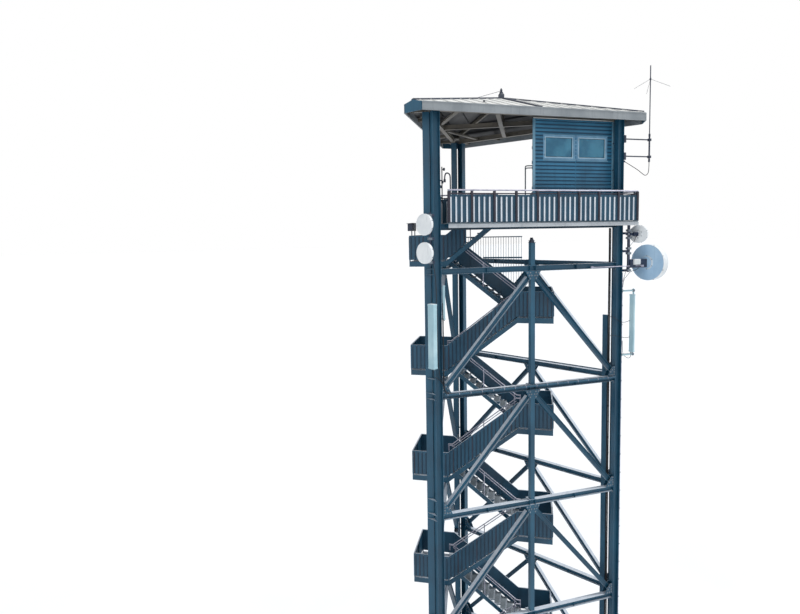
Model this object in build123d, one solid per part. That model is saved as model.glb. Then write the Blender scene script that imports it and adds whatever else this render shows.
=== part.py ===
from build123d import *
import math
import os

os.makedirs("parts", exist_ok=True)

# Fire lookout tower on a plan of an equilateral triangle. Millimetres, Z up.
# The origin is the middle of the left column's base plate, on its underside.
# The front side runs along X, and the viewer stands towards -Y.

# Plan
side_length = 7800          # between the points where the planes of two sides meet
side_height = side_length * math.sqrt(3) / 2

# Stair, which also gives the height of a storey
step_rise = 175
step_going = 240
flight_steps = 12
last_flight_steps = 8
storey_count = 6
landing_depth = 200
stair_half_width = 950
stringer_width = 50
stair_well = 60             # between the two flights
tread_thickness = 35
tread_length = 265
left_landing_outer = -1180  # along the stair's axis, from the plane of the left side
left_landing_inner = 220
right_landing_length = 1300
landing_plate = 12
landing_member = 70

flight_rise = flight_steps * step_rise
flight_run = (flight_steps - 1) * step_going
storey_height = 2 * flight_rise
right_landing_inner = left_landing_inner + flight_run
right_landing_outer = right_landing_inner + right_landing_length
top_level = storey_count * storey_height - landing_depth
level_heights = [top_level - k * storey_height for k in range(storey_count)]
deck_height = top_level + landing_depth + last_flight_steps * step_rise

# Columns, two H sections at each corner
column_offset = 355         # from the corner point to the middle of each section
column_depth = 245
column_width = 230
column_flange = 17
column_web = 11
base_plate_long = 900
base_plate_short = 580
base_plate_thickness = 40
tie_thickness = 16
tie_raised = 600            # a third, thicker plate above each beam
thick_tie = 26

# Beams, posts and braces of the lattice sides
beam_depth = 190
beam_width = 190
beam_flange = 12
beam_web = 8
post_width = 165
post_wall = 8
post_stub = 780             # stands up above the highest beam
post_seat = 14
post_seat_half = 150
brace_depth = 165
brace_width = 165
brace_flange = 12
brace_web = 8
brace_setback = 150         # work points lie this far inside the beams
brace_trim_top = 250
brace_trim_foot = 190
gusset_thickness = 12
gusset_height = 320
gusset_half_top = 300
gusset_half_bottom = 130
gusset_foot = 330

# Deck and railing
deck_plate = 30
deck_overhang = 450         # outside the plane of the front and right sides
deck_start = 610            # along the side, where the overhang begins
deck_past_corner = 150      # the overhang ends beyond the right corner point
deck_beam_depth = 200
deck_joist_depth = 120
deck_joist_width = 60
deck_joist_pitch = 800
fascia_height = 115
fascia_drop = 45            # its top edge below the floor
fascia_thickness = 18
column_pocket = 15
stair_clearance = 10        # between the stair and the edge of its opening
corner_beam_width = 90
corner_beam_reach = 400     # inside the right corner point
stair_gap_front = 2200      # the deck is open over the last flight up to here
stair_gap_back = 1300
railing_height = 1060
railing_post = 50
railing_inset = 30
railing_bay = 800
rail_diameter = 48
lower_rail_drop = 110
panel_gap = 15
panel_top_drop = 150
panel_sheet = 4
rib_depth = 30
rib_pitch = 200
rib_fold = 0.12             # share of a rib's pitch that one sloping fold takes
stair_panel_sheet = 6
stair_panel_gap = 60
stair_panel_height = 880
stair_panel_post = 40
stair_panel_rail = 45
handrail_diameter = 42
handrail_height = 950
second_rail_drop = 110
handrail_return = 150
handrail_sides = 10
handrail_setback = 60       # of the end posts from the landings
handrail_post = 32
second_rail_diameter = 34
guard_height = 1050         # of the bar guard's top rail, above the highest beam
guard_end = 2980            # along the stair's axis
guard_bar = 16
guard_pitch = 100
guard_band = 240
guard_rail = 40
guard_flat = 60

# Cabin on the deck
cabin_inset = 250           # outer faces inside the planes of the front and right sides
cabin_left = 3426           # outer face of the door wall along the stair's axis
cabin_wall = 60
cabin_floor_rise = 1150
cabin_floor_thickness = 80
cabin_ceiling = 40
window_sill = 1030
window_height = 870
window_width = 1275
window_corner = 260
window_gap = 80
window_frame = 55
window_frame_depth = 90
window_frame_proud = 20
glass_thickness = 24
door_width = 800
door_height = 2000
door_leaf = 50
door_set = 5
door_centre = 560
corner_trim = 70
bracket_reach = 475         # from the right corner point
bracket_width = 35
bracket_height = 30
bracket_lifts = (1847, 2798)  # above the deck
step_width = 760
cabin_steps = 5
cabin_step_going = 200
cabin_tread = 220
cabin_tread_thickness = 30
step_stringer = 40
step_top = 60               # level part of the stringer at the door
step_foot = 160
step_drop = 260             # of the stringer's underside at the wall
step_rail_back = 290
step_rail_side = 30
step_rail_lift = 1000

# Roof
eave_rise = 3510            # from the deck to the underside of the roof's edge boards
roof_overhang = 580
roof_fascia_height = 270
roof_board = 25
roof_corner = 720           # cut back from the sharp corner along each eave
roof_slope = 0.32
roof_sheet = 25
roof_beam_depth = 180
roof_beam_width = 150
roof_beam_lift = 110
rafter_width = 90
rafter_depth = 140
corner_plate = 20
outrigger_width = 90
outrigger_depth = 120
cap_half_width = 80
cap_thickness = 45
cap_short = 150             # a hip cap ends this far from the top
middle_cap_width = 110
middle_cap_short = 160
roof_hub = 160
cleat_reach = 350           # of the rafter's cleat from the corner point
cleat_length = 120
cleat_height = 140
ring_plate_near = 150
ring_plate_far = 600
plan_brace_depth = 60
plan_brace_width = 140
plan_brace_start = 600      # beside the stair's axis
plan_brace_run = 1350
roof_cap_radius = 70
roof_cap_height = 240
roof_rod_radius = 14
roof_rod_height = 150

# Equipment. Heights are above the highest beams, places are from the nearest corner point
dish_shell = 12
dish_bulge = 30             # of the radome
dish_hub = 0.34             # radius of the hub, as a share of the dish's
hub_depth = 60
left_dish_diameter = 690
left_dish_depth = 175
left_dish_heights = (645, 1560)
left_dish_turn = 205
left_pipe = (90, -140)
left_pipe_radius = 38
left_pipe_span = (240, 1950)
left_clip_heights = (330, 1100, 1860)
left_arm = (130, 90, 120)   # length, width, height
large_dish_diameter = 1320
large_dish_depth = 370
large_dish_turn = 16
large_dish_place = (695, -225, 65)
large_arm_reach = 725
large_arm_span = (-105, 200)
small_dish_diameter = 640
small_dish_depth = 210
small_dish_turn = 35
small_dish_place = (295, -245, 1115)
small_arm_reach = 325
small_arm_height = 90
right_pipe = (-25, -165)
right_pipe_radius = 52
right_pipe_low = -260
right_clip_heights = (-200, 500, 1150)
arm_side = 110              # the right arms' width in front of the pipe's middle
clip_width = 80
antenna_round = 25
left_antenna = (95, -250)
left_antenna_size = (190, 260)
left_antenna_span = (-3160, -1030)
left_antenna_clips = (-2860, -1340)
right_antenna = (150, -200)
right_antenna_size = (100, 180)
right_antenna_span = (-3220, -1090)
right_antenna_pole = (218, -170)
right_pole_radius = 30
right_pole_span = (-3370, -880)
right_antenna_clips = (-3320, -950)
inner_antenna_stand = 110
inner_antenna_size = (80, 100)
inner_antenna_span = (-1600, -460)
inner_antenna_clips = (-1420, -640)
whip_place = (870, -100)
whip_foot = 3780
whip_diameter = 60
whip_tube = 900
whip_tip_diameter = 36
whip_height = 3400
whip_arms = (140, 750)      # above the whip's foot
whip_arm = 40
ladder_width = 120
ladder_rail = 60
ladder_flat = 10
ladder_drop = 40            # the rails reach this far below the beam's top
ladder_pitch = 420
ladder_rung = (30, 12)
duct_place = 600            # along the right side
duct_size = (185, 70)
duct_wall = 8
duct_top = -1900

tower_axis = Axis((side_length / 2, side_height / 3, 0), (0, 0, 1))
stair_frame = Location((side_length / 4, side_height / 2, 0), (0, 0, -30))
half_column = column_depth / 2
deck_end = side_length + deck_past_corner
eave_height = deck_height + eave_rise
column_face = column_offset + half_column
foot_centre = Vector(column_offset * 0.75, column_offset * math.sqrt(3) / 4, 0)
nodes = {}


def keep(name, shapes):
    """Puts the solids of one node together, moved to the finished frame."""
    if not isinstance(shapes, (list, tuple)):
        shapes = [shapes]
    solids = []
    for shape in shapes:
        solids.extend(shape.solids())
    nodes[name] = Pos(-foot_centre.X, -foot_centre.Y, 0) * Compound(children=solids)


def turned(shapes, k):
    """Copies from the front side to another side of the triangle."""
    return [shape.rotate(tower_axis, 120 * k) for shape in shapes]


def block(x0, x1, y0, y1, z0, z1):
    """A block between two corners."""
    size = Box(x1 - x0, y1 - y0, z1 - z0)
    return Pos((x0 + x1) / 2, (y0 + y1) / 2, (z0 + z1) / 2) * size


def h_profile(depth, width, flange, web):
    """An H section, its depth along the sketch's X."""
    pocket = Rectangle(depth - 2 * flange, (width - web) / 2)
    shift = (width + web) / 4
    return Rectangle(depth, width) - Pos(0, shift) * pocket - Pos(0, -shift) * pocket


def run_bar(profile, start, end, depth_dir):
    """A straight bar of one profile between two points."""
    start = Vector(*start)
    end = Vector(*end)
    plane = Plane(origin=start, x_dir=depth_dir, z_dir=(end - start))
    return extrude(plane * profile, amount=(end - start).length)


def tube_run(points, diameter):
    """A round bar along straight runs with small arcs between them."""
    path = Polyline(*points) if len(points) == 2 else FilletPolyline(*points, radius=diameter * 1.5)
    section = Plane(origin=path @ 0, z_dir=path % 0) * Circle(diameter / 2)
    return sweep(section, path=path)


def front_to_stair(along, out):
    """From the front side's plan to the stair's plan."""
    c = math.cos(math.radians(30))
    s = math.sin(math.radians(30))
    return (along * c + out * s, -side_length / 2 + along * s - out * c)


def mirrored(points):
    return [(a, -q) for a, q in reversed(points)]


# Columns, with the plates that tie each pair together
def column_pair():
    profile = h_profile(column_depth, column_width, column_flange, column_web)
    bottom = base_plate_thickness
    top = eave_height + roof_beam_lift
    first = extrude(Plane(origin=(column_offset, 0, bottom)) * profile, amount=top - bottom)
    second_place = Location((column_offset / 2, column_offset * math.sqrt(3) / 2, bottom), (0, 0, 60))
    second = extrude(second_place * profile, amount=top - bottom)
    return [first, second]


def tie_plates():
    near = column_offset - half_column
    half = column_width / 2
    side = Vector(math.cos(math.radians(60)), math.sin(math.radians(60)))
    inward = Vector(side.Y, -side.X)
    corners = [
        Vector(near, -half),
        Vector(near, half),
        side * near + inward * half,
        side * near - inward * half,
    ]
    outline = make_face(Polyline(*corners, close=True))
    plates = []
    for level in level_heights:
        for lift in (-beam_depth / 2, beam_depth / 2, tie_raised):
            thickness = thick_tie if lift == tie_raised else tie_thickness
            low = level + lift - thickness / 2
            plates.append(extrude(Pos(0, 0, low) * outline, amount=thickness))
    return plates


corner_shapes = column_pair() + tie_plates()
keep("left_columns", corner_shapes)
keep("right_columns", turned(corner_shapes, 1))
keep("back_columns", turned(corner_shapes, 2))

plate = Location((foot_centre.X, foot_centre.Y, base_plate_thickness / 2), (0, 0, 30))
base_plate = plate * Box(base_plate_short, base_plate_long, base_plate_thickness)
post_foot = Pos(side_length / 2, 0, base_plate_thickness / 2) * Box(360, 360, base_plate_thickness)
keep("base_plates", [base_plate] + turned([base_plate], 1) + turned([base_plate], 2)
     + [post_foot] + turned([post_foot], 1))


# Lattice sides
def side_beams(drop):
    profile = h_profile(beam_depth, beam_width, beam_flange, beam_web)
    beams = []
    for level in level_heights:
        z = level - drop
        beams.append(run_bar(profile, (column_face, 0, z), (side_length - column_face, 0, z), (0, 0, 1)))
    return beams


def side_posts():
    outer = Rectangle(post_width, post_width)
    inner = Rectangle(post_width - 2 * post_wall, post_width - 2 * post_wall)
    tops = [level - beam_depth / 2 for level in level_heights]
    feet = [level + beam_depth / 2 + post_seat for level in level_heights[1:]] + [base_plate_thickness]
    posts = []
    for top, foot in zip(tops, feet):
        posts.append(extrude(Pos(side_length / 2, 0, foot) * (outer - inner), amount=top - foot))
    stub_foot = top_level + beam_depth / 2 + post_seat
    stub = extrude(Pos(side_length / 2, 0, stub_foot) * outer, amount=post_stub)
    middle = side_length / 2
    for level in level_heights:
        z = level + beam_depth / 2
        seat = block(
            middle - post_seat_half, middle + post_seat_half,
            -beam_width / 2, beam_width / 2 + post_seat_half / 2, z, z + post_seat)
        posts.append(seat)
    return posts + [stub]


def side_braces(drop):
    profile = h_profile(brace_depth, brace_width, brace_flange, brace_web)
    feet = [level - drop for level in level_heights[1:]] + [base_plate_thickness]
    bars = []
    for level, foot in zip(level_heights, feet):
        top = Vector(side_length / 2, 0, level - drop - brace_setback)
        low = Vector(column_face, 0, foot + brace_setback)
        lean = (low - top).normalized()
        start = top + lean * brace_trim_top
        end = low - lean * brace_trim_foot
        across = lean.cross(Vector(0, 1, 0))
        bar = run_bar(profile, start, end, across)
        bars.append(bar)
        bars.append(bar.mirror(Plane.YZ.offset(side_length / 2)))
    return bars


def side_gussets(drop):
    middle = side_length / 2
    plates = []
    half = brace_width / 2
    feet = [level - drop + beam_depth / 2 for level in level_heights[1:]] + [base_plate_thickness]
    for level, foot in zip(level_heights, feet):
        z = level - drop - beam_depth / 2
        outline = [
            (middle - gusset_half_top, z),
            (middle + gusset_half_top, z),
            (middle + gusset_half_bottom, z - gusset_height),
            (middle - gusset_half_bottom, z - gusset_height),
        ]
        foot_outline = [
            (column_face, foot),
            (column_face + gusset_foot, foot),
            (column_face + gusset_foot * 0.75, foot + gusset_foot * 0.55),
            (column_face + gusset_foot * 0.25, foot + gusset_foot * 1.15),
            (column_face, foot + gusset_foot * 1.15),
        ]
        for points in (outline, foot_outline):
            face = Plane.XZ * make_face(Polyline(*points, close=True))
            for y in (-half, half + gusset_thickness):
                plate = extrude(Pos(0, y, 0) * face, amount=gusset_thickness)
                plates.append(plate)
                if points is foot_outline:
                    plates.append(plate.mirror(Plane.YZ.offset(middle)))
    return plates


left_drop = beam_depth / 2      # so that the landings rest on the left side's beams
keep("front_beams", side_beams(0))
keep("right_beams", turned(side_beams(0), 1))
keep("left_beams", turned(side_beams(left_drop), 2))
keep("king_posts", side_posts() + turned(side_posts(), 1))
keep("front_braces", side_braces(0))
keep("right_braces", turned(side_braces(0), 1))
keep("left_braces", turned(side_braces(left_drop), 2))
keep("gusset_plates", side_gussets(0) + turned(side_gussets(0), 1) + turned(side_gussets(left_drop), 2))


# Stair, in its own frame: X along its axis to the right corner, Y to the back
def flight(low_x, low_z, steps, direction, back):
    """Stringers and treads of one flight that climbs along the direction."""
    inner = stair_well / 2
    outer = stair_half_width
    nosing = tread_length - step_going
    run = (steps - 1) * step_going
    rise = steps * step_rise
    high_x = low_x + direction * run
    side = 1 if back else -1
    low_edge = [(low_x, low_z - landing_depth), (low_x, low_z)]
    if low_z == 0:
        reach = landing_depth * run / rise
        low_edge = [(low_x + direction * reach, 0), (low_x, 0)]
    outline = low_edge + [(high_x, low_z + rise), (high_x, low_z + rise - landing_depth)]
    face = Plane.XZ * make_face(Polyline(*outline, close=True))
    shapes = []
    for y in (inner, outer - stringer_width):
        stringer = extrude(face, amount=-stringer_width)
        y_low = y if side > 0 else -y - stringer_width
        shapes.append(Pos(0, y_low, 0) * stringer)
    for k in range(1, steps):
        x_front = low_x + direction * ((k - 1) * step_going - nosing)
        x_back = x_front + direction * tread_length
        z = low_z + k * step_rise
        y0 = inner + stringer_width
        y1 = outer - stringer_width
        tread = block(min(x_front, x_back), max(x_front, x_back), y0, y1, z - tread_thickness, z)
        shapes.append(tread if side > 0 else tread.mirror(Plane.XZ))
    return shapes


def landing(x0, x1, floor_z):
    """A frame of four members with a floor plate on it."""
    y = stair_half_width
    z0 = floor_z - landing_depth
    z1 = floor_z - landing_plate
    m = landing_member
    frame = block(x0, x1, -y, y, z0, z1) - block(x0 + m, x1 - m, m / 2, y - m, z0, z1)
    frame = frame - block(x0 + m, x1 - m, m - y, -m / 2, z0, z1)
    return [frame, block(x0, x1, -y, y, z1, floor_z)]


def stair_floors():
    lows = [k * storey_height for k in range(storey_count)]
    return lows, [z + flight_rise for z in lows]


floors, half_floors = stair_floors()
for k, z in enumerate(floors):
    pair = flight(left_landing_inner, z, flight_steps, 1, False)
    pair += flight(right_landing_inner, z + flight_rise, flight_steps, -1, True)
    keep(f"storey_{k + 1}_flights", [stair_frame * s for s in pair])
last_floor = storey_count * storey_height
last = flight(left_landing_inner, last_floor, last_flight_steps, 1, False)
keep("top_flight", [stair_frame * s for s in last])

left_shapes = []
right_shapes = []
for z in floors[1:] + [last_floor]:
    left_shapes += landing(left_landing_outer, left_landing_inner, z)
for z in half_floors:
    right_shapes += landing(right_landing_inner, right_landing_outer, z)
keep("left_landings", [stair_frame * s for s in left_shapes])
keep("right_landings", [stair_frame * s for s in right_shapes])


# Cross beams between the king posts carry the right landings
def landing_beams():
    """Each is cut to sit flat on the posts' inner faces."""
    x, y_front = front_to_stair(side_length / 2, 0)
    profile = h_profile(beam_depth, beam_width, beam_flange, beam_web)
    beyond = Pos(side_length / 2, 0, top_level / 2) * Box(2000, post_width, 2 * top_level)
    cutter = stair_frame.inverse() * beyond
    shapes = []
    for z in half_floors:
        height = z - landing_depth - beam_depth / 2
        bar = run_bar(profile, (x, y_front, height), (x, -y_front, height), (0, 0, 1))
        bar = bar - cutter - cutter.mirror(Plane.XZ)
        shapes.append(max(bar.solids(), key=lambda solid: solid.volume))
    return shapes


keep("landing_beams", [stair_frame * s for s in landing_beams()])


# Guard panels of the stair, each a sheet with its rail and the posts that carry it
def panel_edge(low_x0, low_x1, high_x0, high_x1, low_z, rise):
    """The line of the floor beside a landing, the flight above it and the next landing."""
    edge = [(low_x1, low_z), (high_x0, low_z + rise), (high_x1, low_z + rise)]
    if low_x0 != low_x1:
        edge.insert(0, (low_x0, low_z))
    return edge


def band(edge, low, high, y0, y1):
    """A band that follows an edge between two heights over it."""
    below = [(x, z + low) for x, z in edge]
    above = [(x, z + high) for x, z in reversed(edge)]
    face = Plane.XZ * make_face(Polyline(*(below + above), close=True))
    return Pos(0, y0, 0) * extrude(face, amount=y0 - y1)


def edge_height(edge, x):
    """Height and slope of an edge at a place along it."""
    for (x0, z0), (x1, z1) in zip(edge, edge[1:]):
        if min(x0, x1) <= x <= max(x0, x1):
            return z0 + (z1 - z0) * (x - x0) / (x1 - x0), (z1 - z0) / (x1 - x0)
    return edge[-1][1], 0


def edge_post(edge, x, width, y0, y1, height):
    """A post that stands on the edge, its foot cut to the slope."""
    ends = []
    for end in (x - width / 2, x + width / 2):
        ends.append((end, edge_height(edge, end)[0]))
    return band(ends, 0, height, y0, y1)


def guard_panel(edge, posts, side):
    """A sheet outside the stringer, with a rail on top and posts inside it."""
    y = stair_half_width
    top = stair_panel_gap + stair_panel_height
    panel = band(edge, stair_panel_gap, top, y, y + stair_panel_sheet)
    rail_low = y - stair_panel_post
    panel = panel + band(edge, top, top + stair_panel_rail, rail_low, y + stair_panel_sheet)
    for x in posts:
        panel = panel + edge_post(edge, x, stair_panel_post, rail_low, y, top)
    return panel if side > 0 else panel.mirror(Plane.XZ)


def end_panel(x, z, side):
    """Across the outer end of a landing, between its two corner posts."""
    half = stair_half_width - stair_panel_post
    top = z + stair_panel_gap + stair_panel_height
    face = x + side * stair_panel_sheet
    sheet = block(min(x, face), max(x, face), -stair_half_width, stair_half_width, z + stair_panel_gap, top)
    inside = x - side * stair_panel_post
    rail = block(min(inside, face), max(inside, face), -half, half, top, top + stair_panel_rail)
    foot = block(min(inside, x), max(inside, x), -stair_panel_post / 2, stair_panel_post / 2, z, top)
    return sheet + rail + foot


half_post = stair_panel_post / 2
run_middle = (left_landing_inner + right_landing_inner) / 2
near_left = left_landing_inner - half_post - 5
near_right = right_landing_inner + half_post + 5
left_outer_post = left_landing_outer + half_post
right_outer_post = right_landing_outer - half_post
stair_panels = []
for z in floors:
    start = left_landing_inner if z == 0 else left_landing_outer
    edge = panel_edge(start, left_landing_inner, right_landing_inner, right_landing_outer, z, flight_rise)
    posts = [run_middle - 600, run_middle + 600, near_right, right_outer_post]
    posts += [left_landing_inner + half_post + 5] if z == 0 else [left_outer_post, near_left]
    stair_panels.append(guard_panel(edge, posts, -1))
    z_half = z + flight_rise
    edge = panel_edge(
        right_landing_outer, right_landing_inner, left_landing_inner, left_landing_outer,
        z_half, flight_rise)
    posts = [run_middle - 600, run_middle + 600, near_right, right_outer_post, left_outer_post, near_left]
    stair_panels.append(guard_panel(edge, posts, 1))
    stair_panels.append(end_panel(right_landing_outer, z_half, 1))
    stair_panels.append(end_panel(left_landing_outer, z + storey_height, -1))
last_run = (last_flight_steps - 1) * step_going
last_rise = last_flight_steps * step_rise
last_stop = left_landing_inner + last_run
edge = [
    (left_landing_outer, last_floor),
    (left_landing_inner, last_floor),
    (last_stop - 900, last_floor + last_rise - 900 * last_rise / last_run),
]
stair_panels.append(guard_panel(edge, [left_outer_post, near_left, last_stop - 930], -1))
keep("stair_panels", [stair_frame * s for s in stair_panels])


# Inner handrails on posts that stand on the stringers
def rail_run(points, diameter):
    """A rail along straight runs, mitred where they meet."""
    path = Polyline(*points)
    section = Plane(origin=path @ 0, z_dir=path % 0) * RegularPolygon(diameter / 2, handrail_sides)
    return sweep(section, path=path, transition=Transition.RIGHT)


def handrails():
    """Two rails one over the other, the upper bent down to the lower at each end."""
    runs = []
    for z in floors:
        runs.append((left_landing_inner, right_landing_inner, z, flight_rise, -1))
        runs.append((right_landing_inner, left_landing_inner, z + flight_rise, flight_rise, 1))
    runs.append((left_landing_inner, last_stop, last_floor, last_rise, -1))
    y = stair_well / 2 + stringer_width / 2
    shapes = []
    for x0, x1, z, rise, side in runs:
        way = 1 if x1 > x0 else -1
        edge = [(x0, z), (x1, z + rise)]
        first = x0 + way * handrail_setback
        last = x1 - way * handrail_setback
        low = Vector(first, y, edge_height(edge, first)[0])
        high = Vector(last, y, edge_height(edge, last)[0])
        lift = Vector(0, 0, handrail_height)
        second = Vector(0, 0, handrail_height - second_rail_drop)
        out = Vector(way * handrail_return, 0, 0)
        down = Vector(0, 0, 2 * second_rail_drop)
        points = [low + lift - out - down, low + lift - out, low + lift]
        points += [high + lift, high + lift + out, high + lift + out - down]
        rail = rail_run(points, handrail_diameter)
        rail = rail + rail_run([low + second, high + second], second_rail_diameter)
        for part in (0.03, 0.5, 0.97):
            x = first + (last - first) * part
            half = handrail_post / 2
            rail = rail + edge_post(edge, x, handrail_post, y - half, y + half, handrail_height)
        shapes.append(rail if side > 0 else rail.mirror(Plane.XZ))
    return shapes


keep("stair_handrails", [stair_frame * s for s in handrails()])


# Upright bars over the back panel of the highest back flight, under the deck
def bar_guard():
    z_half = half_floors[-1]
    edge = [(right_landing_outer, z_half), (right_landing_inner, z_half), (left_landing_inner, last_floor)]
    panel_top = stair_panel_gap + stair_panel_height + stair_panel_rail
    y0 = stair_half_width - stair_panel_post / 2 - guard_bar / 2
    y1 = y0 + guard_bar
    top = top_level + guard_height
    middle = top_level + guard_band
    frame = None
    count = int((guard_end - left_landing_inner) // guard_pitch)
    start = 0
    for k in range(count):
        x = guard_end - k * guard_pitch
        foot = edge_height(edge, x)[0] + panel_top
        if foot > top - guard_flat:
            break
        low = edge_height(edge, x + guard_bar / 2)[0] + panel_top
        high = edge_height(edge, x - guard_bar / 2)[0] + panel_top
        right = x + guard_bar / 2
        left = x - guard_bar / 2
        outline = [(right, low), (left, high), (left, top), (right, top)]
        face = Plane.XZ * make_face(Polyline(*outline, close=True))
        bar = Pos(0, y0, 0) * extrude(face, amount=-guard_bar)
        frame = bar if frame is None else frame + bar
        start = x
        if foot < middle - guard_flat / 2:
            middle_start = x
    far = guard_end + 2 * guard_bar
    side = (guard_rail - guard_bar) / 2
    frame = frame + block(start - guard_bar, far, y0 - side, y1 + side, top, top + guard_rail)
    half = guard_flat / 2
    near = middle_start - guard_bar
    frame = frame + block(near, far, y0 - side / 2, y1 + side / 2, middle - half, middle + half)
    return frame


keep("bar_guard", stair_frame * bar_guard())


# Deck, in the stair's frame
def deck_outline(grow):
    inner = deck_start
    p0 = front_to_stair(inner, deck_overhang + grow)
    p1 = front_to_stair(deck_end, deck_overhang + grow)
    bisector = inner / math.sqrt(3)
    p9 = front_to_stair(inner, -bisector)
    p8 = (-column_width / 2 - grow, -side_length / 2 + inner)
    front = [p8, p9, p0, p1]
    return front + mirrored(front)


def column_pockets(z0, z1):
    pockets = []
    half_d = half_column + column_pocket
    half_w = column_width / 2 + column_pocket
    pocket = block(-half_d, half_d, -half_w, half_w, z0, z1)
    for along, turn in ((column_offset, 0), (side_length - column_offset, 0)):
        pockets.append(Pos(along, 0, 0) * pocket)
    pockets = pockets + turned(pockets, 1) + turned(pockets, 2)
    return pockets


def deck_floor_shape():
    z0 = deck_height - deck_plate
    face = make_face(Polyline(*deck_outline(0), close=True))
    floor = extrude(Pos(0, 0, z0) * face, amount=deck_plate)
    w = stair_half_width + stair_clearance
    floor = floor - block(-1000, stair_gap_back, -w, w, z0 - 10, deck_height + 10)
    floor = floor - block(0, stair_gap_front, -w, 0, z0 - 10, deck_height + 10)
    floor = stair_frame * floor
    for pocket in column_pockets(z0 - 10, deck_height + 10):
        floor = floor - pocket
    return floor


keep("deck_floor", deck_floor_shape())


def corner_beam(top):
    """It stands out from the right column pair to the deck's blunt corner."""
    outer = deck_outline(0)[3][0]
    half = corner_beam_width / 2
    start = side_height - corner_beam_reach
    beam = stair_frame * block(start, outer, -half, half, top - deck_joist_depth, top)
    for column in turned(column_pair(), 1):
        beam = beam - column
    return max(beam.solids(), key=lambda solid: solid.volume)


def deck_frame():
    """Main beams between the columns, joists to the edge and trimmers beside the stair."""
    z = deck_height - deck_plate - deck_beam_depth / 2
    profile = h_profile(deck_beam_depth, beam_width, beam_flange, beam_web)
    main = run_bar(profile, (column_face, 0, z), (side_length - column_face, 0, z), (0, 0, 1))
    shapes = [main] + turned([main], 1)
    gap = stair_half_width + stair_clearance + beam_width
    half_span = side_length / 2
    stub = run_bar(profile, (column_face, 0, z), (half_span - gap, 0, z), (0, 0, 1))
    far_stub = run_bar(profile, (half_span + gap, 0, z), (side_length - column_face, 0, z), (0, 0, 1))
    shapes += turned([stub, far_stub], 2)
    z_top = deck_height - deck_plate
    joist_y0 = -deck_overhang
    joist_y1 = -beam_width / 2
    joists = []
    count = int((deck_end - deck_start) // deck_joist_pitch)
    for k in range(count + 1):
        x = deck_start + deck_joist_width + k * deck_joist_pitch
        joists.append(block(
            x, x + deck_joist_width, joist_y0, joist_y1, z_top - deck_joist_depth, z_top))
    corner = corner_beam(z_top)
    joists[-1] = block(
        x, x + deck_joist_width, joist_y0, joist_y1 + 200, z_top - deck_joist_depth, z_top) - corner
    joists[-1] = min(joists[-1].solids(), key=lambda solid: solid.bounding_box().min.Y)
    shapes.append(corner)
    shapes += joists
    for joist in joists:
        mirror_joist = (stair_frame.inverse() * joist).mirror(Plane.XZ)
        shapes.append(stair_frame * mirror_joist)
    return shapes


def trimmers():
    """Beams along both sides of the stair opening, ending at the main beams."""
    z = deck_height - deck_plate - deck_beam_depth / 2
    profile = h_profile(deck_beam_depth, beam_width, beam_flange, beam_web)
    y = stair_half_width + stair_clearance + beam_width / 2
    reach = (side_length / 2 - y - beam_width / 2) * math.sqrt(3) - beam_width
    shapes = []
    for side in (-1, 1):
        bar = run_bar(profile, (-column_width / 2, side * y, z), (reach, side * y, z), (0, 0, 1))
        shapes.append(stair_frame * bar)
    return shapes


keep("deck_frame", deck_frame() + trimmers())


def deck_fascia():
    z0 = deck_height - fascia_drop - fascia_height
    outer = deck_outline(fascia_thickness)[2:6]
    inner = deck_outline(0)[2:6]
    shapes = []
    for k in range(3):
        face = make_face(Polyline(outer[k], outer[k + 1], inner[k + 1], inner[k], close=True))
        shapes.append(stair_frame * extrude(Pos(0, 0, z0) * face, amount=fascia_height))
    return shapes


keep("deck_fascia", deck_fascia())


# Railing: posts, two rails and ribbed panels along one straight run
def ribbed_sheet(length, z0, z1):
    """A sheet folded into upright ribs, in the run's own frame."""
    waves = max(1, round(length / rib_pitch))
    pitch = length / waves
    line = []
    for k in range(waves):
        x = k * pitch
        near = x + pitch * (0.5 - rib_fold)
        line += [(x, 0), (near, 0), (x + pitch * 0.5, rib_depth), (near + pitch * 0.5, rib_depth)]
    line.append((length, 0))
    back = [(x, y + panel_sheet) for x, y in reversed(line)]
    face = make_face(Polyline(*(line + back), close=True))
    return extrude(Pos(0, 0, z0) * face, amount=z1 - z0)


def railing_run(start, end, panels=True):
    """A run from one plan point to another, the panels on its right."""
    start = Vector(*start)
    end = Vector(*end)
    length = (end - start).length
    angle = math.degrees(math.atan2((end - start).Y, (end - start).X))
    bays = max(1, round(length / railing_bay))
    bay = length / bays
    half = railing_post / 2
    z0 = deck_height
    top = z0 + railing_height
    shapes = []
    for k in range(bays + 1):
        shapes.append(block(k * bay - half, k * bay + half, -half, half, z0, top - rail_diameter / 2))
    rail_x = length + railing_post
    rail = Pos(length / 2, 0, top) * Rot(0, 90, 0) * Cylinder(rail_diameter / 2, rail_x)
    shapes.append(rail)
    for k in range(bays):
        x0 = k * bay + half
        x1 = (k + 1) * bay - half
        z_rail = top - lower_rail_drop
        shapes.append(block(x0, x1, -15, 15, z_rail - 15, z_rail + 15))
        sheet = ribbed_sheet(x1 - x0, z0 + panel_gap, top - panel_top_drop)
        shapes.append(Pos(x0, -rib_depth, 0) * sheet)
    place = Location((start.X, start.Y, 0), (0, 0, angle))
    return [place * s for s in shapes]


def inset_edge(along, out):
    return front_to_stair(along, out - railing_inset)


edge_front_start = inset_edge(deck_start + railing_inset, deck_overhang)
edge_front_end = inset_edge(deck_end - railing_inset, deck_overhang)
mirror_start = (edge_front_start[0], -edge_front_start[1])
mirror_end = (edge_front_end[0], -edge_front_end[1])
corner_gap = railing_post * 1.2
corner_start = (edge_front_end[0], edge_front_end[1] + corner_gap)
corner_end = (mirror_end[0], mirror_end[1] - corner_gap)
left_x = -column_width / 2 + railing_inset
left_y0 = -side_length / 2 + deck_start + railing_inset
left_y1 = -stair_half_width - 60

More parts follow.
